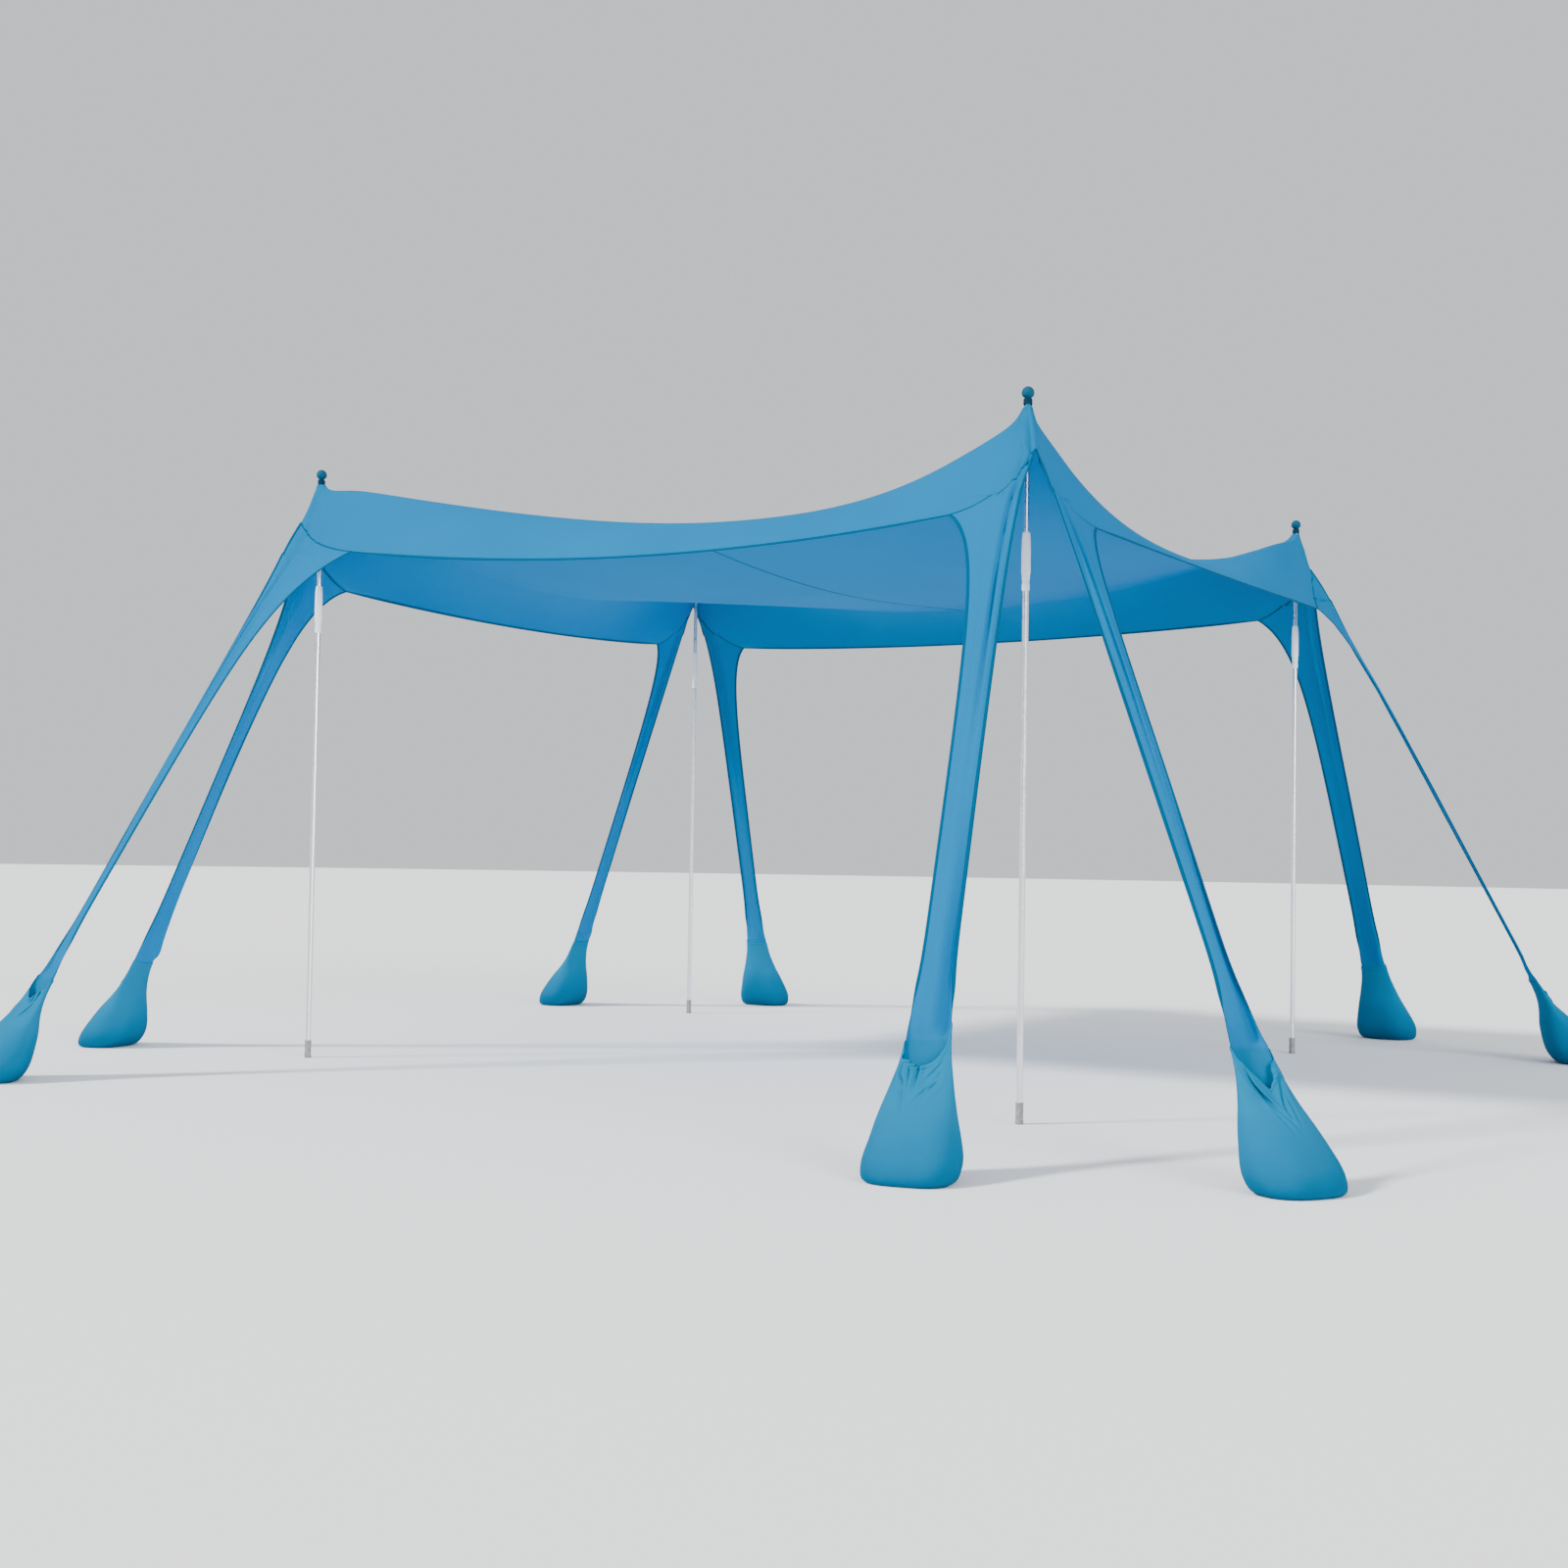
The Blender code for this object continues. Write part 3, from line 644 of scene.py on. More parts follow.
def closed_mesh(name, points, faces, flats=()):
    """A smooth closed mesh whose faces point outwards, with its flat cloth places."""
    mesh = bpy.data.meshes.new(name)
    mesh.from_pydata(points, [], faces)
    if flats:
        flat = mesh.uv_layers.new(name="cloth")
        for loop in mesh.loops:
            flat.data[loop.index].uv = flats[loop.vertex_index]
    mesh.polygons.foreach_set("use_smooth", [True] * len(mesh.polygons))
    mesh.update()
    repair = bmesh.new()
    repair.from_mesh(mesh)
    bmesh.ops.recalc_face_normals(repair, faces=repair.faces[:])
    repair.to_mesh(mesh)
    repair.free()
    return mesh


def link(name, mesh):
    obj = bpy.data.objects.new(name, mesh)
    bpy.context.scene.collection.objects.link(obj)
    return obj


def push_along_normals(mesh, height_at):
    points = np.empty(len(mesh.vertices) * 3)
    normals = np.empty(len(mesh.vertices) * 3)
    mesh.vertices.foreach_get("co", points)
    mesh.vertices.foreach_get("normal", normals)
    points, normals = points.reshape(-1, 3), normals.reshape(-1, 3)
    heights = np.array([height_at(Vector(point)) for point in points])
    mesh.vertices.foreach_set("co", (points + normals * heights[:, None]).ravel())
    mesh.update()


def apply_modifier(obj, kind, **settings):
    bpy.ops.object.select_all(action="DESELECT")
    bpy.context.view_layer.objects.active = obj
    obj.select_set(True)
    modifier = obj.modifiers.new(kind.lower(), kind)
    for key, value in settings.items():
        setattr(modifier, key, value)
    bpy.ops.object.modifier_apply(modifier=modifier.name)


def make_canopy():
    """Roof, valances and legs as one continuous sheet, then its real thickness."""
    grids = [oriented(roof_grid(), UP)]
    for side, (_, _, out) in SIDES.items():
        grids.append(oriented(valance_grid(side), out + UP))
    for corner, side in POCKETS:
        away = leg_frame(corner, side)[3]
        grids.append(oriented(leg_grid(corner, side), away + UP * 0.3))
    grids = [[[gather_round_pole(point) for point in line] for line in grid] for grid in grids]
    mesh = weld_grids("canopy_cloth", grids)
    push_along_normals(mesh, cloth_rise)
    canopy = link("canopy_cloth", mesh)
    apply_modifier(canopy, "SOLIDIFY", thickness=CLOTH_THICKNESS, offset=0.0)
    return canopy


# Hems, seams and thread

def hem_share(z):
    """A hem thins out where its leg slips into the pocket."""
    full = step_up((z - HEM_THINNEST_BELOW) / (HEM_THINS_BELOW - HEM_THINNEST_BELOW))
    return HEM_THIN_SHARE + (1 - HEM_THIN_SHARE) * full


def tube_along(name, path, normals, half_width, half_height):
    """A flattened roll of cloth along a path, with closed ends."""
    points, faces, flats = [], [], []
    run = 0.0
    count = len(path)
    for n, (point, normal) in enumerate(zip(path, normals)):
        ahead = path[min(n + 1, count - 1)] - path[max(n - 1, 0)]
        across = ahead.cross(normal).normalized()
        lift = across.cross(ahead).normalized()
        if n:
            run += (point - path[n - 1]).length
        share = hem_share(point.z)
        for m in range(HEM_SIDES):
            angle = 2 * math.pi * m / HEM_SIDES
            offset = across * half_width * math.cos(angle) + lift * half_height * math.sin(angle)
            points.append(tuple(point + offset * share))
            flats.append((run, half_width * angle))
    for n in range(count - 1):
        for m in range(HEM_SIDES):
            a, b = n * HEM_SIDES + m, n * HEM_SIDES + (m + 1) % HEM_SIDES
            faces.append((a, b, b + HEM_SIDES, a + HEM_SIDES))
    faces.append(tuple(reversed(range(HEM_SIDES))))
    faces.append(tuple(range((count - 1) * HEM_SIDES, count * HEM_SIDES)))
    return link(name, closed_mesh(name, points, faces, flats))


def even_path(path, normals, pitch):
    """Points, headings and normals at an even pitch along a path."""
    runs = [0.0]
    for before, after in zip(path, path[1:]):
        runs.append(runs[-1] + (after - before).length)
    result = []
    segment = 0
    for n in range(int(runs[-1] / pitch)):
        here = (n + 0.5) * pitch
        while runs[segment + 1] < here:
            segment += 1
        share = (here - runs[segment]) / (runs[segment + 1] - runs[segment])
        point = path[segment].lerp(path[segment + 1], share)
        normal = normals[segment].lerp(normals[segment + 1], share).normalized()
        ahead = (path[segment + 1] - path[segment]).normalized()
        result.append((point, ahead, normal))
    return result


def stitch_rows(name, runs):
    """Short thread stitches along each (path, normals, sideways, lift) run, as one piece."""
    points, faces = [], []
    ring = 5
    for path, normals, sideways, lift in runs:
        for point, ahead, normal in even_path(path, normals, STITCH_PITCH):
            if point.z < HEM_THINS_BELOW:
                continue
            across = ahead.cross(normal).normalized()
            centre = point + across * sideways + normal * lift
            first = len(points)
            for end, size in ((-0.5, 0.35), (-0.3, 1.0), (0.3, 1.0), (0.5, 0.35)):
                for m in range(ring):
                    angle = 2 * math.pi * m / ring
                    offset = across * math.cos(angle) + normal * math.sin(angle)
                    place = centre + ahead * STITCH_LENGTH * end + offset * STITCH_RADIUS * size
                    points.append(tuple(place))
            for level in range(3):
                for m in range(ring):
                    a = first + level * ring + m
                    b = first + level * ring + (m + 1) % ring
                    faces.append((a, b, b + ring, a + ring))
            faces.append(tuple(first + m for m in reversed(range(ring))))
            faces.append(tuple(first + 3 * ring + m for m in range(ring)))
    return link(name, closed_mesh(name, points, faces))


def grid_normals(grid, line_at):
    """Normals of a grid at a list of (row, column) places."""
    normals = []
    rows, cols = len(grid), len(grid[0])
    for i, j in line_at:
        down = grid[min(i + 1, rows - 1)][j] - grid[max(i - 1, 0)][j]
        along = grid[i][min(j + 1, cols - 1)] - grid[i][max(j - 1, 0)]
        normals.append(down.cross(along).normalized())
    return normals


def same_way(normals, wanted):
    return [normal if normal.dot(wanted) > 0 else -normal for normal in normals]


def settled(points, normals):
    """The same places on the finished cloth."""
    placed = []
    for point, normal in zip(points, normals):
        point = gather_round_pole(point.copy())
        placed.append(point + normal * cloth_rise(point))
    return placed


def edge_of_leg(corner, side, row):
    """A leg's edge from its seam down to the pocket, with the cloth's normals."""
    grid = leg_grid(corner, side)
    places = [(row, step) for step in range(LEG_STEPS + 1)]
    normals = same_way(grid_normals(grid, places), leg_frame(corner, side)[3] + UP * 0.3)
    kept = [n for n, point in enumerate(grid[row]) if point.z > BAG_HEIGHT - 0.020]
    return settled([grid[row][n] for n in kept], normals), [normals[n] for n in kept]


def make_edges():
    """Rolled hems: round each side's opening, and round the notch between two legs."""
    hems = []
    stitches = []
    for side, (start, end, out) in SIDES.items():
        grid = valance_grid(side)
        last = len(grid) - 1
        places = [(last, step) for step in range(1, SIDE_STEPS)]
        middle_normals = same_way(grid_normals(grid, places), out + UP)
        middle = settled([grid[last][step] for _, step in places], middle_normals)
        down, down_normals = edge_of_leg(start, side, SEAM_ROWS)
        up, up_normals = edge_of_leg(end, side, SEAM_ROWS)
        path = down[::-1] + middle + up
        normals = down_normals[::-1] + middle_normals + up_normals
        hems.append(tube_along("hem_" + side, path, normals, HEM_HALF_WIDTH, HEM_HALF_HEIGHT))
        stitches.append(stitch_rows("hem_stitching_" + side, [
            (path, normals, -HEM_HALF_WIDTH * 0.55, HEM_HALF_HEIGHT * 0.88),
            (path, normals, HEM_HALF_WIDTH * 0.55, HEM_HALF_HEIGHT * 0.88)]))
    for corner in CORNERS:
        first, second = [side for place, side in POCKETS if place == corner]
        down, down_normals = edge_of_leg(corner, first, 0)
        up, up_normals = edge_of_leg(corner, second, 0)
        path = down[::-1] + up[1:]
        normals = down_normals[::-1] + up_normals[1:]
        name = "notch_hem_" + corner
        hems.append(tube_along(name, path, normals, HEM_HALF_WIDTH, HEM_HALF_HEIGHT))
    return hems, stitches


def make_seams():
    """The seam across the roof, and the eight curved seams where the legs are sewn on."""
    seams, runs = [], []
    grid = roof_grid()
    middle = SIDE_STEPS // 2
    places = [(middle, step) for step in range(SIDE_STEPS + 1)]
    normals = same_way(grid_normals(grid, places), UP)
    path = settled(grid[middle], normals)
    seams.append(tube_along("centre_seam", path, normals, SEAM_HALF_WIDTH, SEAM_HALF_HEIGHT))
    for sideways in (-0.6, 0.6):
        for lift in (-0.8, 0.8):
            runs.append((path, normals, SEAM_HALF_WIDTH * sideways, SEAM_HALF_HEIGHT * lift))
    for corner, side in POCKETS:
        grid = leg_grid(corner, side)
        places = [(row, 0) for row in range(len(grid))]
        normals = same_way(grid_normals(grid, places), leg_frame(corner, side)[3] + UP)
        path = settled([line[0] for line in grid], normals)
        name = "leg_seam_" + corner + "_" + side
        seams.append(tube_along(name, path, normals, SEAM_HALF_WIDTH, SEAM_HALF_HEIGHT))
        for sideways in (-0.6, 0.6):
            runs.append((path, normals, SEAM_HALF_WIDTH * sideways, SEAM_HALF_HEIGHT * 0.8))
    return seams, stitch_rows("seam_stitching", runs)


# Sand pockets

BAG_Z = [level[0] for level in BAG_LEVELS]
BAG_HALF_WIDTHS = [level[1] for level in BAG_LEVELS]
BAG_HALF_DEPTHS = [level[2] for level in BAG_LEVELS]


def smooth_level(values, z):
    """A smooth curve through the pocket's levels."""
    for n in range(len(BAG_Z) - 1):
        if z <= BAG_Z[n + 1]:
            break
    share = (z - BAG_Z[n]) / (BAG_Z[n + 1] - BAG_Z[n])
    before, here, there = values[max(n - 1, 0)], values[n], values[n + 1]
    after = values[min(n + 2, len(values) - 1)]
    wide = BAG_Z[n + 1] - BAG_Z[n]
    rise_here = (there - before) / max(BAG_Z[n + 1] - BAG_Z[max(n - 1, 0)], 1e-6) * wide
    rise_there = (after - here) / max(BAG_Z[min(n + 2, len(values) - 1)] - BAG_Z[n], 1e-6) * wide
    if n == 0:
        rise_here = there - here
    square, cube = share ** 2, share ** 3
    return ((2 * cube - 3 * square + 1) * here + (cube - 2 * square + share) * rise_here
            + (3 * square - 2 * cube) * there + (cube - square) * rise_there)


def mouth_wrinkles(name, mouth):
    """Folds in the front of a pocket that run down from both ends of its mouth."""
    fall, dip, lowest, _, gather = mouth
    draw = random.Random(name + " folds")
    half = BAG_RIM_HALF_WIDTH
    lines = []
    for end in (-1, 1):
        for n in range(4):
            start = (end * half * draw.uniform(0.86, 1.0), BAG_HEIGHT - fall - 0.002 - 0.016 * n)
            stop = (half * (lowest + end * draw.uniform(-0.30, 0.40)),
                    BAG_HEIGHT - fall - dip - draw.uniform(0.050, 0.125))
            depth = draw.uniform(0.5, 1.0) * WRINKLE_DEPTH * (1 + 8 * dip)
            lines.append((Vector(start), Vector(stop), depth))
    for n in range(3):
        place = half * (0.74 - 0.30 * n)
        start = (place, BAG_HEIGHT - fall + 0.010)
        stop = (place + half * 0.12, BAG_HEIGHT - fall - draw.uniform(0.060, 0.085))
        lines.append((Vector(start), Vector(stop), gather))
    return lines


def wrinkle_rise(spot, lines):
    rise = 0.0
    for start, stop, depth in lines:
        run = stop - start
        share = (spot - start).dot(run) / run.length_squared
        if 0.0 < share < 1.0:
            gap = (spot - start - run * share).length
            strength = math.sin(math.pi * share ** 0.6)
            rise -= depth * strength * groove(gap, 0.0046, 0.0098, 0.0052)
    return rise


def make_sandbag(corner, side):
    """A lofted pocket: flat base, full sides, and a flat mouth whose front edge hangs open."""
    _, _, across, away = leg_frame(corner, side)
    name = "sandbag_" + corner + "_" + side
    mouth = MOUTHS.get((corner, side), PLAIN_MOUTH)
    fall, dip, lowest, rise, _ = mouth
    wrinkles = mouth_wrinkles(name, mouth)
    draw = random.Random(name + " shape")
    tilt, phase = draw.uniform(-1.0, 1.0), draw.uniform(0.0, 2 * math.pi)
    points, rings, flats = [], [], []

    def hang(angle):
        """Share of the front edge's drop at each place round the rim."""
        if math.sin(angle) <= 0:
            return 0.0
        place = math.cos(angle)
        slope = abs(place - lowest) / (1 - lowest if place > lowest else 1 + lowest)
        return max(0.0, 1 + MOUTH_TIP_ROUND - math.hypot(slope, MOUTH_TIP_ROUND)) ** MOUTH_TIP_POWER

    def level(z, angle):
        """Height of a ring at one place: even below, and following the mouth's edge above."""
        high = max(0.0, (z - BAG_SLACK_Z) / (BAG_HEIGHT - BAG_SLACK_Z)) ** BAG_SLACK_POWER
        lower = fall * step_up(math.sin(angle) / 0.45) + dip * hang(angle)
        return z + high * (rise * max(0.0, -math.cos(angle)) ** 3 - lower)

    def outline(z, angle, inset=0.0):
        """Place round the pocket before any creases: full and square below, flat at the mouth."""
        flat = step_up((z - BAG_FLATTENS_Z) / (BAG_HEIGHT - BAG_FLATTENS_Z))
        square = BASE_SQUARENESS + (1 - BASE_SQUARENESS) * min(1.0, z / BAG_ROUND_Z)
        c, v = math.cos(angle), math.sin(angle)
        wide = math.copysign(abs(c) ** square, c)
        deep = math.copysign(abs(v) ** square, v)
        half_depth = smooth_level(BAG_HALF_DEPTHS, z)
        rim_depth = MOUTH_FRONT if v > 0 else MOUTH_BACK
        half_depth += (rim_depth - half_depth) * flat
        half_width = smooth_level(BAG_HALF_WIDTHS, z)
        return (half_width - inset) * wide, (half_depth - inset) * deep

    def swell(z, angle):
        """Soft unevenness of the sand behind the cloth."""
        low = math.exp(-(((z - 0.08) / 0.06) ** 2))
        return low * (0.0030 * math.sin(2 * angle + phase) + 0.0022 * math.sin(5 * angle + 2 * phase)
                      + 0.0030 * tilt * math.cos(angle))

    def add_ring(z, inset, run, cloth=True, lift=0.0):
        """One ring of the pocket: outer cloth, or the rim and inner wall when cloth is off."""
        ring = []
        for m in range(BAG_SIDES):
            angle = 2 * math.pi * m / BAG_SIDES
            x, y = outline(z, angle, inset)
            here = level(z, angle) + lift
            out = Vector((x * 0.7, y)).normalized()
            raised = wrinkle_rise(Vector((x, here)), wrinkles) * step_up(y / 0.006)
            if cloth and z > 0.002:
                raised += swell(z, angle)
                below = BAG_HEIGHT - z
                if below < 0.016:
                    roll = 0.0016 * math.sin(math.pi * below / 0.014) if below < 0.014 else -0.0012
                    raised += roll * abs(math.sin(angle)) ** 0.5
            x, y = x + out.x * raised, y + out.y * raised
            ring.append(len(points))
            points.append(tuple(leg_axis(corner, side, here) + across * x + away * y))
            flats.append((run, angle * 0.1))
        rings.append(ring)

    heights = [0.0, 0.0015, 0.004, 0.008, 0.014, 0.021, 0.028]
    heights += [0.034 + n * 0.006 for n in range(25)]
    heights += [0.183 + n * 0.0045 for n in range(29)]
    heights += [0.3125, 0.3155, 0.318, 0.321, 0.324, 0.327, BAG_HEIGHT]
    run = 0.0
    for z in heights:
        add_ring(z, 0.0, run)
        run += 0.005
    for inset, lift in ((0.0005, 0.0010), (0.0011, 0.0013), (0.0017, 0.0008), (BAG_WALL, -0.0010)):
        add_ring(BAG_HEIGHT, inset, run, False, lift)
        run += 0.002
    for n in range(1, 31):
        add_ring(BAG_HEIGHT + (SAND_Z - BAG_HEIGHT) * n / 30, BAG_WALL, run, False)
        run += 0.005
    cloth_rings = len(rings)
    draw = random.Random(name + " sand")
    for share in (0.85, 0.65, 0.45, 0.25, 0.1):
        ring = []
        for m in range(BAG_SIDES):
            angle = 2 * math.pi * m / BAG_SIDES
            x, y = outline(SAND_Z, angle, BAG_WALL)
            here = SAND_Z + 0.008 * (1 - share) + draw.uniform(-0.0006, 0.0006)
            ring.append(len(points))
            points.append(tuple(leg_axis(corner, side, here) + (across * x + away * y) * share))
            flats.append((run, angle * 0.1))
        rings.append(ring)
        run += 0.01
    outside, sand, hem, lining = range(4)
    faces = [tuple(rings[0])]
    kinds = [outside]
    hem_rings = range(len(heights) - 8, len(heights) + 3)
    for n, (first, second) in enumerate(zip(rings, rings[1:])):
        kind = outside if n < hem_rings[0] else hem if n in hem_rings else lining
        if n >= cloth_rings - 1:
            kind = sand
        for m in range(BAG_SIDES):
            after = (m + 1) % BAG_SIDES
            faces.append((first[m], first[after], second[after], second[m]))
            kinds.append(kind)
    faces.append(tuple(rings[-1]))
    kinds.append(sand)
    mesh = closed_mesh(name, points, faces, flats)
    mesh.polygons.foreach_set("material_index", kinds)
    mesh.update()
    return link("pocket_" + corner + "_" + side, mesh)


# Peak knobs and their ties

KNOB_RADIUS = 0.0195
TIE_BOTTOM = PEAK_Z - 0.0042
TIE_HEIGHT = 0.0215
CORD_RADIUS = 0.0021
TIE_RADIUS = 0.0122
CORD_TURNS = 5


def fresh():
    """Leave edit mode and deselect everything, before a new piece is begun."""
    if bpy.context.mode != "OBJECT":
        bpy.ops.object.mode_set(mode="OBJECT")
    bpy.ops.object.select_all(action="DESELECT")


def select_vertices(obj, wanted):
    bpy.ops.object.mode_set(mode="EDIT")
    bpy.ops.mesh.select_mode(type="VERT")
    bpy.ops.mesh.select_all(action="DESELECT")
    shape = bmesh.from_edit_mesh(obj.data)
    for vertex in shape.verts:
        vertex.select = wanted(vertex.co)
    shape.select_flush(True)
    bmesh.update_edit_mesh(obj.data)


def on_a_fold(from_centre):
    """Whether a point of a knob lies on one of its twelve pinched folds."""
    meridian = round(math.atan2(from_centre.y, from_centre.x) * 24 / math.pi)
    return meridian % 4 == 0


def make_knob(corner):
    """A ball under stretched cloth, pinched into folds where the tie closes it."""
    fresh()
    centre = POLE[corner] + UP * (TIE_BOTTOM + TIE_HEIGHT + KNOB_RADIUS - 0.0025)
    bpy.ops.mesh.primitive_uv_sphere_add(segments=48, ring_count=28, radius=KNOB_RADIUS,
                                         location=centre)
    knob = bpy.context.active_object
    knob.name = knob.data.name = "knob_" + corner
    bpy.ops.object.transform_apply(location=True, rotation=True, scale=True)
    select_vertices(knob, lambda co: co.z < centre.z - KNOB_RADIUS * 0.55)
    bpy.ops.transform.resize(value=(0.86, 0.86, 1.0), center_override=tuple(centre))
    select_vertices(knob, lambda co: co.z < centre.z - KNOB_RADIUS * 0.05 and on_a_fold(co - centre))
    bpy.ops.transform.resize(value=(0.91, 0.91, 1.0), center_override=tuple(centre))
    select_vertices(knob, lambda co: co.z > centre.z + KNOB_RADIUS * 0.3)
    bpy.ops.transform.resize(value=(1.0, 1.0, 1.06), center_override=tuple(centre))
    bpy.ops.object.mode_set(mode="OBJECT")
    bpy.ops.object.shade_smooth()
    return knob


def make_tie(corner):
    """Elastic cord wound round the gathered cloth under the ball."""
    fresh()
    start = POLE[corner] + UP * (TIE_BOTTOM + CORD_RADIUS)
    bpy.ops.mesh.primitive_circle_add(vertices=10, radius=CORD_RADIUS, fill_type="NOTHING",
                                      location=(TIE_RADIUS, 0.0, 0.0),
                                      rotation=(math.pi / 2, 0.0, 0.0))
    tie = bpy.context.active_object
    tie.name = tie.data.name = "tie_" + corner
    bpy.ops.object.transform_apply(location=True, rotation=True, scale=True)
    rise = (TIE_HEIGHT - 2 * CORD_RADIUS) / CORD_TURNS
    apply_modifier(tie, "SCREW", angle=2 * math.pi, screw_offset=rise, iterations=CORD_TURNS,
                   steps=28, render_steps=28, axis="Z", use_smooth_shade=True)
    bpy.ops.object.mode_set(mode="EDIT")
    bpy.ops.mesh.select_all(action="SELECT")
    bpy.ops.mesh.remove_doubles(threshold=0.00001)
    bpy.ops.mesh.select_all(action="DESELECT")
    bpy.ops.mesh.select_non_manifold(extend=False)
    bpy.ops.mesh.edge_face_add()
    bpy.ops.mesh.select_all(action="SELECT")
    bpy.ops.mesh.normals_make_consistent(inside=False)
    bpy.ops.transform.translate(value=tuple(start))
    bpy.ops.object.mode_set(mode="OBJECT")
    bpy.ops.object.shade_smooth()
    return tie


# Finishes

def new_finish(name):
    made = bpy.data.materials.new(name)
    made.use_nodes = True
    tree = made.node_tree
    return made, tree, tree.nodes["Principled BSDF"]


def add_node(tree, kind, **values):
    """A node with its settings, and its inputs given by name."""
    made = tree.nodes.new(kind)
    for key, value in values.items():
        if hasattr(made, key):
            setattr(made, key, value)
        else:
            made.inputs[key.replace("_", " ")].default_value = value
    return made


def noise(tree, where, scale, detail=3.0, rough=0.5, stretch=None):
    if stretch:
        mapping = add_node(tree, "ShaderNodeMapping")
        mapping.inputs["Scale"].default_value = stretch
        tree.links.new(where, mapping.inputs["Vector"])
        where = mapping.outputs["Vector"]
    made = add_node(tree, "ShaderNodeTexNoise", Scale=scale, Detail=detail, Roughness=rough)
    tree.links.new(where, made.inputs["Vector"])
    return made.outputs["Fac"]


def ramp(tree, value, stops):
    made = tree.nodes.new("ShaderNodeValToRGB")
    elements = made.color_ramp.elements
    while len(elements) < len(stops):
        elements.new(0.5)
    for element, (place, colour) in zip(elements, stops):
        element.position = place
        element.color = colour
    tree.links.new(value, made.inputs["Fac"])
    return made.outputs["Color"]


def multiply(tree, first, second, share=1.0):
    made = tree.nodes.new("ShaderNodeMix")
    made.data_type = "RGBA"
    made.blend_type = "MULTIPLY"
    made.inputs["Factor"].default_value = share
    tree.links.new(first, made.inputs[6])
    tree.links.new(second, made.inputs[7])
    return made.outputs[2]


def bump(tree, height, strength, distance, under=None):
    made = add_node(tree, "ShaderNodeBump", Strength=strength, Distance=distance)
    tree.links.new(height, made.inputs["Height"])
    if under:
        tree.links.new(under, made.inputs["Normal"])
    return made.outputs["Normal"]


def knit(tree, flat):
    """Fine ribs of the knitted cloth, crossed by its rows of loops."""
    ribs = add_node(tree, "ShaderNodeTexWave", wave_type="BANDS", bands_direction="X",
                    Scale=210.0, Distortion=0.4, Detail=1.0)
    rows = add_node(tree, "ShaderNodeTexWave", wave_type="BANDS", bands_direction="Y",
                    Scale=150.0, Distortion=0.4, Detail=1.0)
    tree.links.new(flat, ribs.inputs["Vector"])
    tree.links.new(flat, rows.inputs["Vector"])
    joined = tree.nodes.new("ShaderNodeMath")
    joined.operation = "MULTIPLY"
    tree.links.new(ribs.outputs["Fac"], joined.inputs[0])
    tree.links.new(rows.outputs["Fac"], joined.inputs[1])
    return joined.outputs["Value"]


def grey(value):
    return (value, value, value, 1.0)


def fabric(name, colour, through=None, glow=0.0, roughness=0.74, sheen=0.04):
    """Knitted stretch fabric, which lets a share of the light through where glow is given."""
    made, tree, shader = new_finish(name)
    where = tree.nodes.new("ShaderNodeTexCoord").outputs["Object"]
    flat = add_node(tree, "ShaderNodeUVMap", uv_map="cloth").outputs["UV"]
    base = ramp(tree, noise(tree, where, 2.2, 4.0), (
        (0.25, (colour[0] * 0.90, colour[1] * 0.93, colour[2] * 0.95, 1.0)),
        (0.75, (colour[0] * 1.08, colour[1] * 1.05, colour[2] * 1.03, 1.0))))
    loops = knit(tree, flat)
    # The knit's low places are darkened to 90 per cent: painted shade in the hollows of the knit.
    base = multiply(tree, base, ramp(tree, loops, ((0.0, grey(0.90)), (1.0, grey(1.0)))))
    tree.links.new(base, shader.inputs["Base Color"])
    shader.inputs["Roughness"].default_value = roughness
    shader.inputs["Sheen Weight"].default_value = sheen
    shader.inputs["Sheen Roughness"].default_value = 0.45
    shader.inputs["Sheen Tint"].default_value = (0.02, 0.55, 1.0, 1.0)
    shader.inputs["Specular IOR Level"].default_value = 0.08
    shader.inputs["Specular Tint"].default_value = (0.10, 0.60, 1.0, 1.0)
    soft = bump(tree, noise(tree, where, 26.0, 3.0, stretch=(1.0, 1.0, 0.4)), 0.25, 0.004)
    fine = bump(tree, loops, 0.35, 0.0004, soft)
    tree.links.new(fine, shader.inputs["Normal"])
    if glow:
        behind = tree.nodes.new("ShaderNodeBsdfTranslucent")
        behind.inputs["Color"].default_value = (*through, 1.0)
        tree.links.new(soft, behind.inputs["Normal"])
        both = tree.nodes.new("ShaderNodeMixShader")
        both.inputs["Fac"].default_value = glow
        tree.links.new(shader.outputs["BSDF"], both.inputs[1])
        tree.links.new(behind.outputs["BSDF"], both.inputs[2])
        output = tree.nodes["Material Output"]
        tree.links.new(both.outputs["Shader"], output.inputs["Surface"])
    return made


def pocket_finish():
    """The same fabric over damp sand: darker and greener towards the ground, partly from the damp and
    partly as painted contact shade.
    """
    made = fabric("pocket_fabric", (0.0002, 0.165, 0.325), roughness=0.80, sheen=0.03)
    tree = made.node_tree
    shader = tree.nodes["Principled BSDF"]
    where = tree.nodes.new("ShaderNodeTexCoord").outputs["Object"]
    parts = tree.nodes.new("ShaderNodeSeparateXYZ")
    tree.links.new(where, parts.inputs["Vector"])
    edge = tree.nodes.new("ShaderNodeMath")
    edge.operation = "MULTIPLY_ADD"
    edge.inputs[1].default_value = 0.06
    tree.links.new(noise(tree, where, 9.0, 3.0), edge.inputs[0])
    tree.links.new(parts.outputs["Z"], edge.inputs[2])
    # Darker with less height above the floor: partly the damp of the sand, partly painted contact shade
    # where the pocket meets the ground.
    damp_and_shade = ramp(tree, edge.outputs["Value"], (
        (0.03, (0.42, 0.52, 0.56, 1.0)), (0.10, (0.70, 0.76, 0.80, 1.0)), (0.22, grey(1.0))))
    before = shader.inputs["Base Color"].links[0].from_socket
    tree.links.new(multiply(tree, before, damp_and_shade), shader.inputs["Base Color"])
    return made


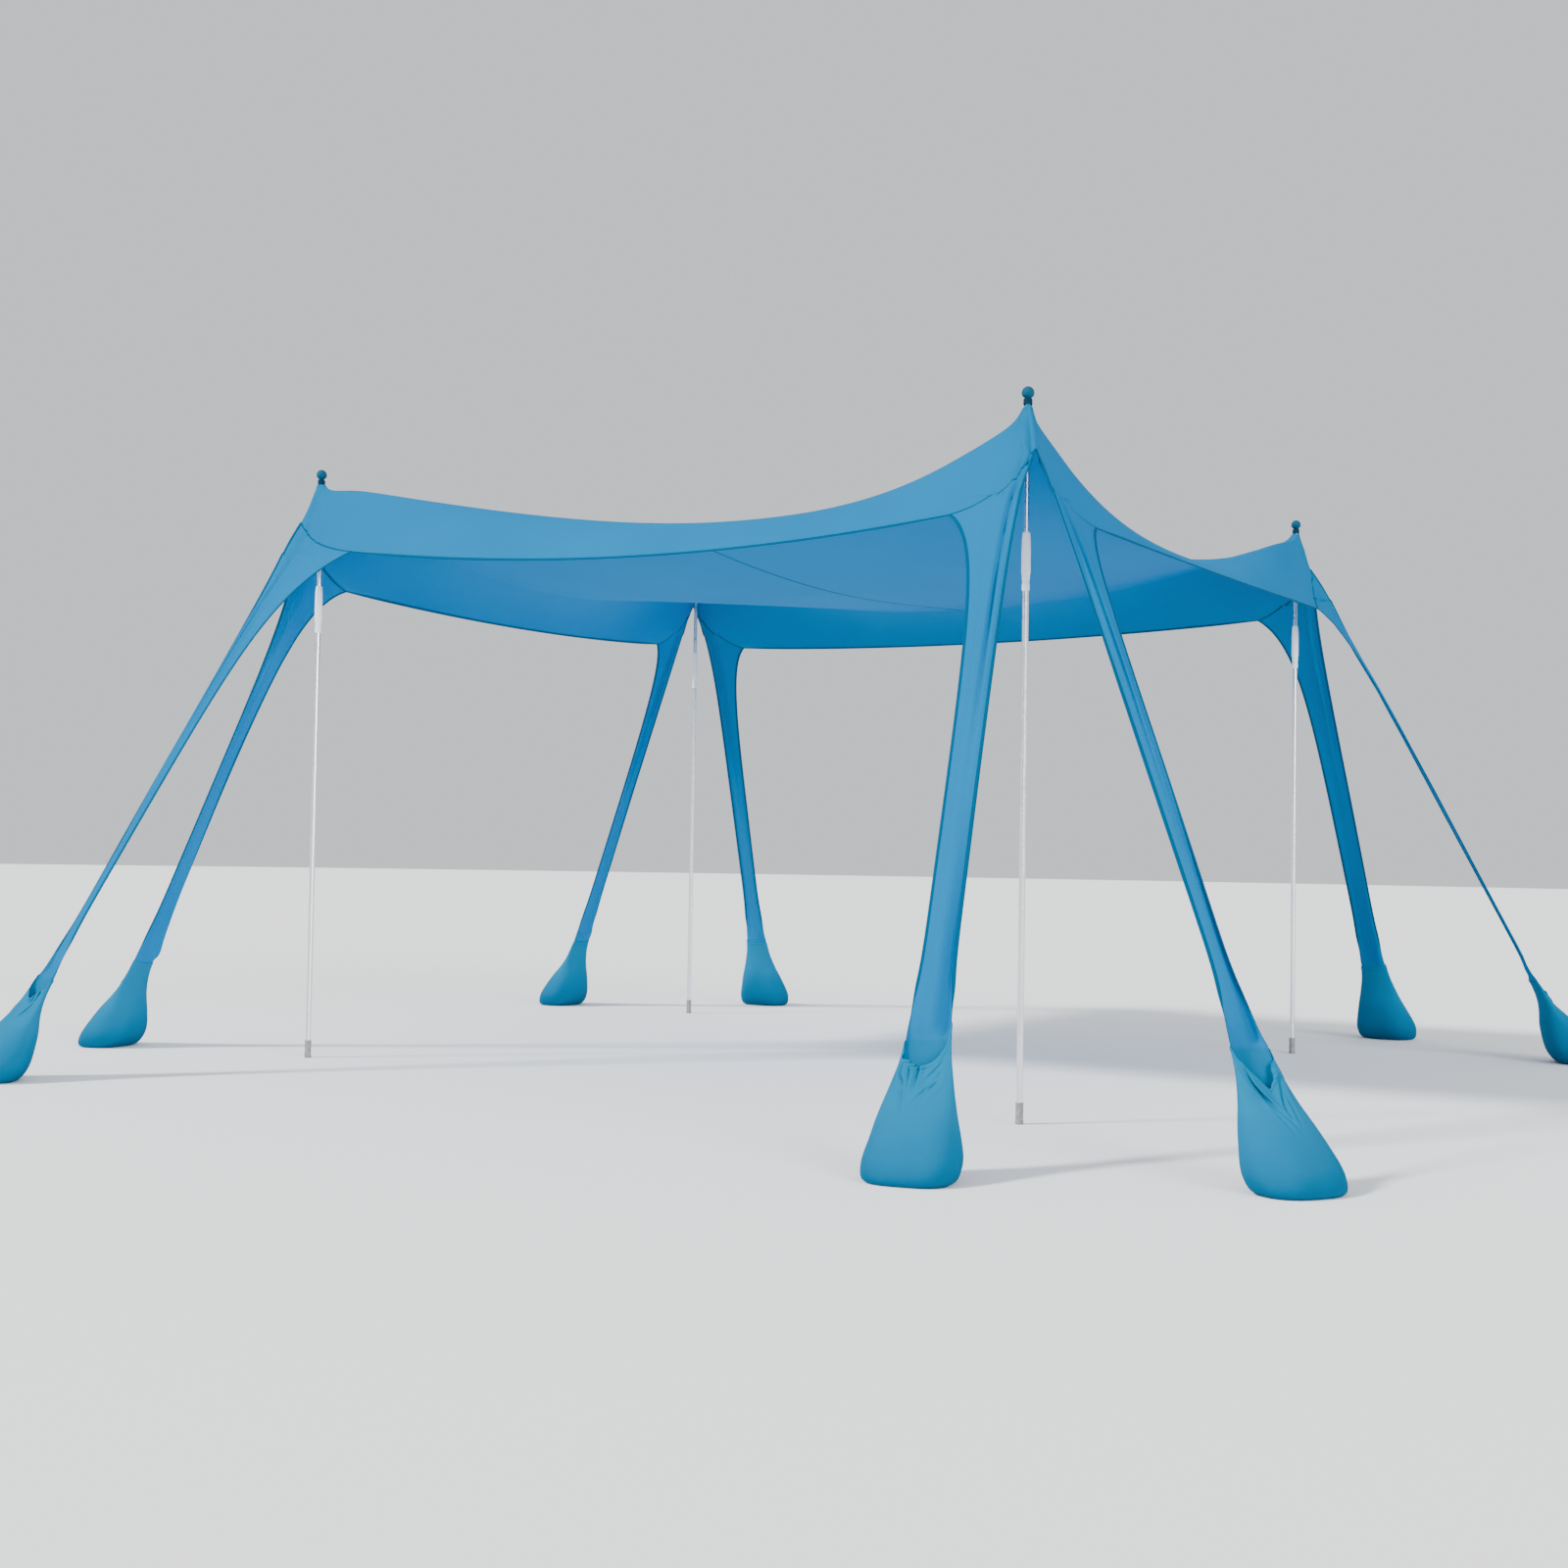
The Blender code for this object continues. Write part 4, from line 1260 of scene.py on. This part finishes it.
def sand_finish():
    made, tree, shader = new_finish("damp_sand")
    where = tree.nodes.new("ShaderNodeTexCoord").outputs["Object"]
    grains = noise(tree, where, 900.0, 2.0, 0.7)
    base = ramp(tree, grains, ((0.3, (0.30, 0.22, 0.13, 1.0)), (0.7, (0.55, 0.44, 0.29, 1.0))))
    tree.links.new(base, shader.inputs["Base Color"])
    shader.inputs["Roughness"].default_value = 0.9
    tree.links.new(bump(tree, grains, 0.8, 0.0015), shader.inputs["Normal"])
    return made


def aluminium_finish():
    """Drawn tube: faint lengthwise streaks and a few scuffs."""
    made, tree, shader = new_finish("drawn_aluminium")
    where = tree.nodes.new("ShaderNodeTexCoord").outputs["Object"]
    streaks = noise(tree, where, 420.0, 2.0, stretch=(1.0, 1.0, 0.02))
    scuffs = noise(tree, where, 60.0, 5.0, 0.7)
    base = ramp(tree, streaks, ((0.3, (0.72, 0.74, 0.77, 1.0)), (0.7, (0.90, 0.91, 0.93, 1.0))))
    tree.links.new(base, shader.inputs["Base Color"])
    rough = ramp(tree, scuffs, ((0.35, grey(0.24)), (0.75, grey(0.42))))
    tree.links.new(rough, shader.inputs["Roughness"])
    shader.inputs["Metallic"].default_value = 1.0
    tree.links.new(bump(tree, streaks, 0.08, 0.0003), shader.inputs["Normal"])
    return made


def plastic_finish():
    made, tree, shader = new_finish("moulded_white_plastic")
    where = tree.nodes.new("ShaderNodeTexCoord").outputs["Object"]
    grime = noise(tree, where, 45.0, 4.0, 0.6)
    base = ramp(tree, grime, ((0.3, (0.86, 0.88, 0.90, 1.0)), (0.7, (0.93, 0.94, 0.95, 1.0))))
    tree.links.new(base, shader.inputs["Base Color"])
    rough = ramp(tree, grime, ((0.3, grey(0.38)), (0.7, grey(0.50))))
    tree.links.new(rough, shader.inputs["Roughness"])
    shader.inputs["Subsurface Weight"].default_value = 0.08
    tree.links.new(bump(tree, noise(tree, where, 900.0, 2.0), 0.12, 0.0002), shader.inputs["Normal"])
    return made


def rubber_finish():
    made, tree, shader = new_finish("grey_rubber")
    where = tree.nodes.new("ShaderNodeTexCoord").outputs["Object"]
    dust = noise(tree, where, 70.0, 5.0, 0.65)
    base = ramp(tree, dust, ((0.35, (0.17, 0.175, 0.185, 1.0)), (0.75, (0.33, 0.32, 0.30, 1.0))))
    tree.links.new(base, shader.inputs["Base Color"])
    shader.inputs["Roughness"].default_value = 0.82
    tree.links.new(bump(tree, noise(tree, where, 600.0, 3.0), 0.3, 0.0003), shader.inputs["Normal"])
    return made


def cord_finish(name, dark, light):
    """Fine twisted fibres."""
    made, tree, shader = new_finish(name)
    where = tree.nodes.new("ShaderNodeTexCoord").outputs["Object"]
    fibres = noise(tree, where, 700.0, 3.0, 0.6, stretch=(1.0, 1.0, 2.5))
    base = ramp(tree, fibres, ((0.3, (*dark, 1.0)), (0.7, (*light, 1.0))))
    tree.links.new(base, shader.inputs["Base Color"])
    shader.inputs["Roughness"].default_value = 0.75
    shader.inputs["Specular IOR Level"].default_value = 0.15
    tree.links.new(bump(tree, fibres, 0.5, 0.0006), shader.inputs["Normal"])
    return made


def paper_finish():
    made, _, shader = new_finish("pale_studio_floor")
    shader.inputs["Base Color"].default_value = (0.88, 0.89, 0.90, 1.0)
    shader.inputs["Roughness"].default_value = 0.9
    return made


def dress(obj, finish, body="canopy"):
    obj.data.materials.clear()
    for made in finish if isinstance(finish, tuple) else (finish,):
        obj.data.materials.append(made)
    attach(obj, body)


def refinish_nodes(prefix, finish):
    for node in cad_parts:
        if node.startswith(prefix):
            for slot in bpy.data.objects[node].material_slots:
                slot.material = finish


# Camera, floor and light

CAMERA_FROM_FRONT_POLE = Vector((2.5145, -5.495, 0.812))
CAMERA_YAW = math.radians(31.481)
CAMERA_PITCH = math.radians(1.929)
CAMERA_ROLL = math.radians(0.927)
FOCAL_PIXELS = 2021.29
PHOTO_PIXELS = 1600
SENSOR_WIDTH = 36.0


def place_camera():
    level = Vector((-math.sin(CAMERA_YAW), math.cos(CAMERA_YAW), 0.0))
    right = Vector((math.cos(CAMERA_YAW), math.sin(CAMERA_YAW), 0.0))
    ahead = level * math.cos(CAMERA_PITCH) + UP * math.sin(CAMERA_PITCH)
    above = UP * math.cos(CAMERA_PITCH) - level * math.sin(CAMERA_PITCH)
    turned_right = right * math.cos(CAMERA_ROLL) + above * math.sin(CAMERA_ROLL)
    turned_up = above * math.cos(CAMERA_ROLL) - right * math.sin(CAMERA_ROLL)
    data = bpy.data.cameras.new("camera")
    data.sensor_width = SENSOR_WIDTH
    data.lens = FOCAL_PIXELS / PHOTO_PIXELS * SENSOR_WIDTH
    data.clip_end = 200.0
    camera = bpy.data.objects.new("camera", data)
    turn = Matrix((turned_right, turned_up, -ahead)).transposed().to_4x4()
    camera.matrix_world = Matrix.Translation(POLE["front_right"] + CAMERA_FROM_FRONT_POLE) @ turn
    bpy.context.scene.collection.objects.link(camera)
    bpy.context.scene.camera = camera


def sun(name, towards, power, softness, colour):
    """A sunlike lamp that shines towards a direction; its softness is in degrees."""
    data = bpy.data.lights.new(name, "SUN")
    data.energy = power
    data.angle = math.radians(softness)
    data.color = colour
    lamp = bpy.data.objects.new(name, data)
    lamp.rotation_euler = Vector(towards).to_track_quat("-Z", "Y").to_euler()
    bpy.context.scene.collection.objects.link(lamp)


def light_studio():
    sun("key", (0.52, 0.58, -0.63), 4.8, 8.0, (1.0, 0.985, 0.96))
    sun("fill", (-0.85, 0.45, -0.30), 2.8, 30.0, (0.97, 0.985, 1.0))
    world = bpy.data.worlds.new("studio")
    bpy.context.scene.world = world
    world.use_nodes = True
    backdrop = world.node_tree.nodes["Background"]
    backdrop.inputs["Color"].default_value = (0.94, 0.97, 1.0, 1.0)
    backdrop.inputs["Strength"].default_value = 0.85


def lay_floor():
    fresh()
    bpy.ops.mesh.primitive_circle_add(vertices=96, radius=60.0, fill_type="NGON", location=(0, 0, 0))
    floor = bpy.context.active_object
    floor.name = "studio_floor"
    floor.data.materials.append(paper_finish())


def solids_of(*prefixes):
    return [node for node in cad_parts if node.startswith(prefixes)]


def main():
    place_camera()
    light_studio()
    lay_floor()
    canopy_fabric = fabric("canopy_fabric", (0.0002, 0.196, 0.385), (0.0001, 0.47, 0.96), 0.32)
    hem_fabric = fabric("hem_fabric", (0.0002, 0.085, 0.190), (0.0001, 0.22, 0.46), 0.14)
    thread = cord_finish("blue_thread", (0.002, 0.10, 0.28), (0.01, 0.18, 0.42))

    canopy = make_canopy()
    dress(canopy, canopy_fabric)
    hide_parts(*solids_of("roof_", "valance_", "leg_"))
    hems, hem_stitching = make_edges()
    seams, seam_stitching = make_seams()
    for piece in hems + seams:
        dress(piece, hem_fabric)
    for piece in hem_stitching + [seam_stitching]:
        dress(piece, thread)

    pocket_fabric = pocket_finish()
    sand = sand_finish()
    for corner, side in POCKETS:
        pocket = make_sandbag(corner, side)
        dress(pocket, (pocket_fabric, sand, hem_fabric, canopy_fabric))
        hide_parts("sandbag_" + corner + "_" + side)

    knob_fabric = cord_finish("knob_fabric", (0.0005, 0.052, 0.105), (0.001, 0.085, 0.160))
    tie_cord = cord_finish("tie_cord", (0.0005, 0.016, 0.036), (0.001, 0.034, 0.068))
    for corner in CORNERS:
        knob = make_knob(corner)
        dress(knob, knob_fabric)
        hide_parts("peak_knob_" + corner)
        tie = make_tie(corner)
        dress(tie, tie_cord)
        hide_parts("peak_tie_" + corner)

    refinish_nodes(("pole_upper_", "pole_lower_"), aluminium_finish())
    refinish_nodes("twist_lock_", plastic_finish())
    refinish_nodes("pole_foot_", rubber_finish())


main()
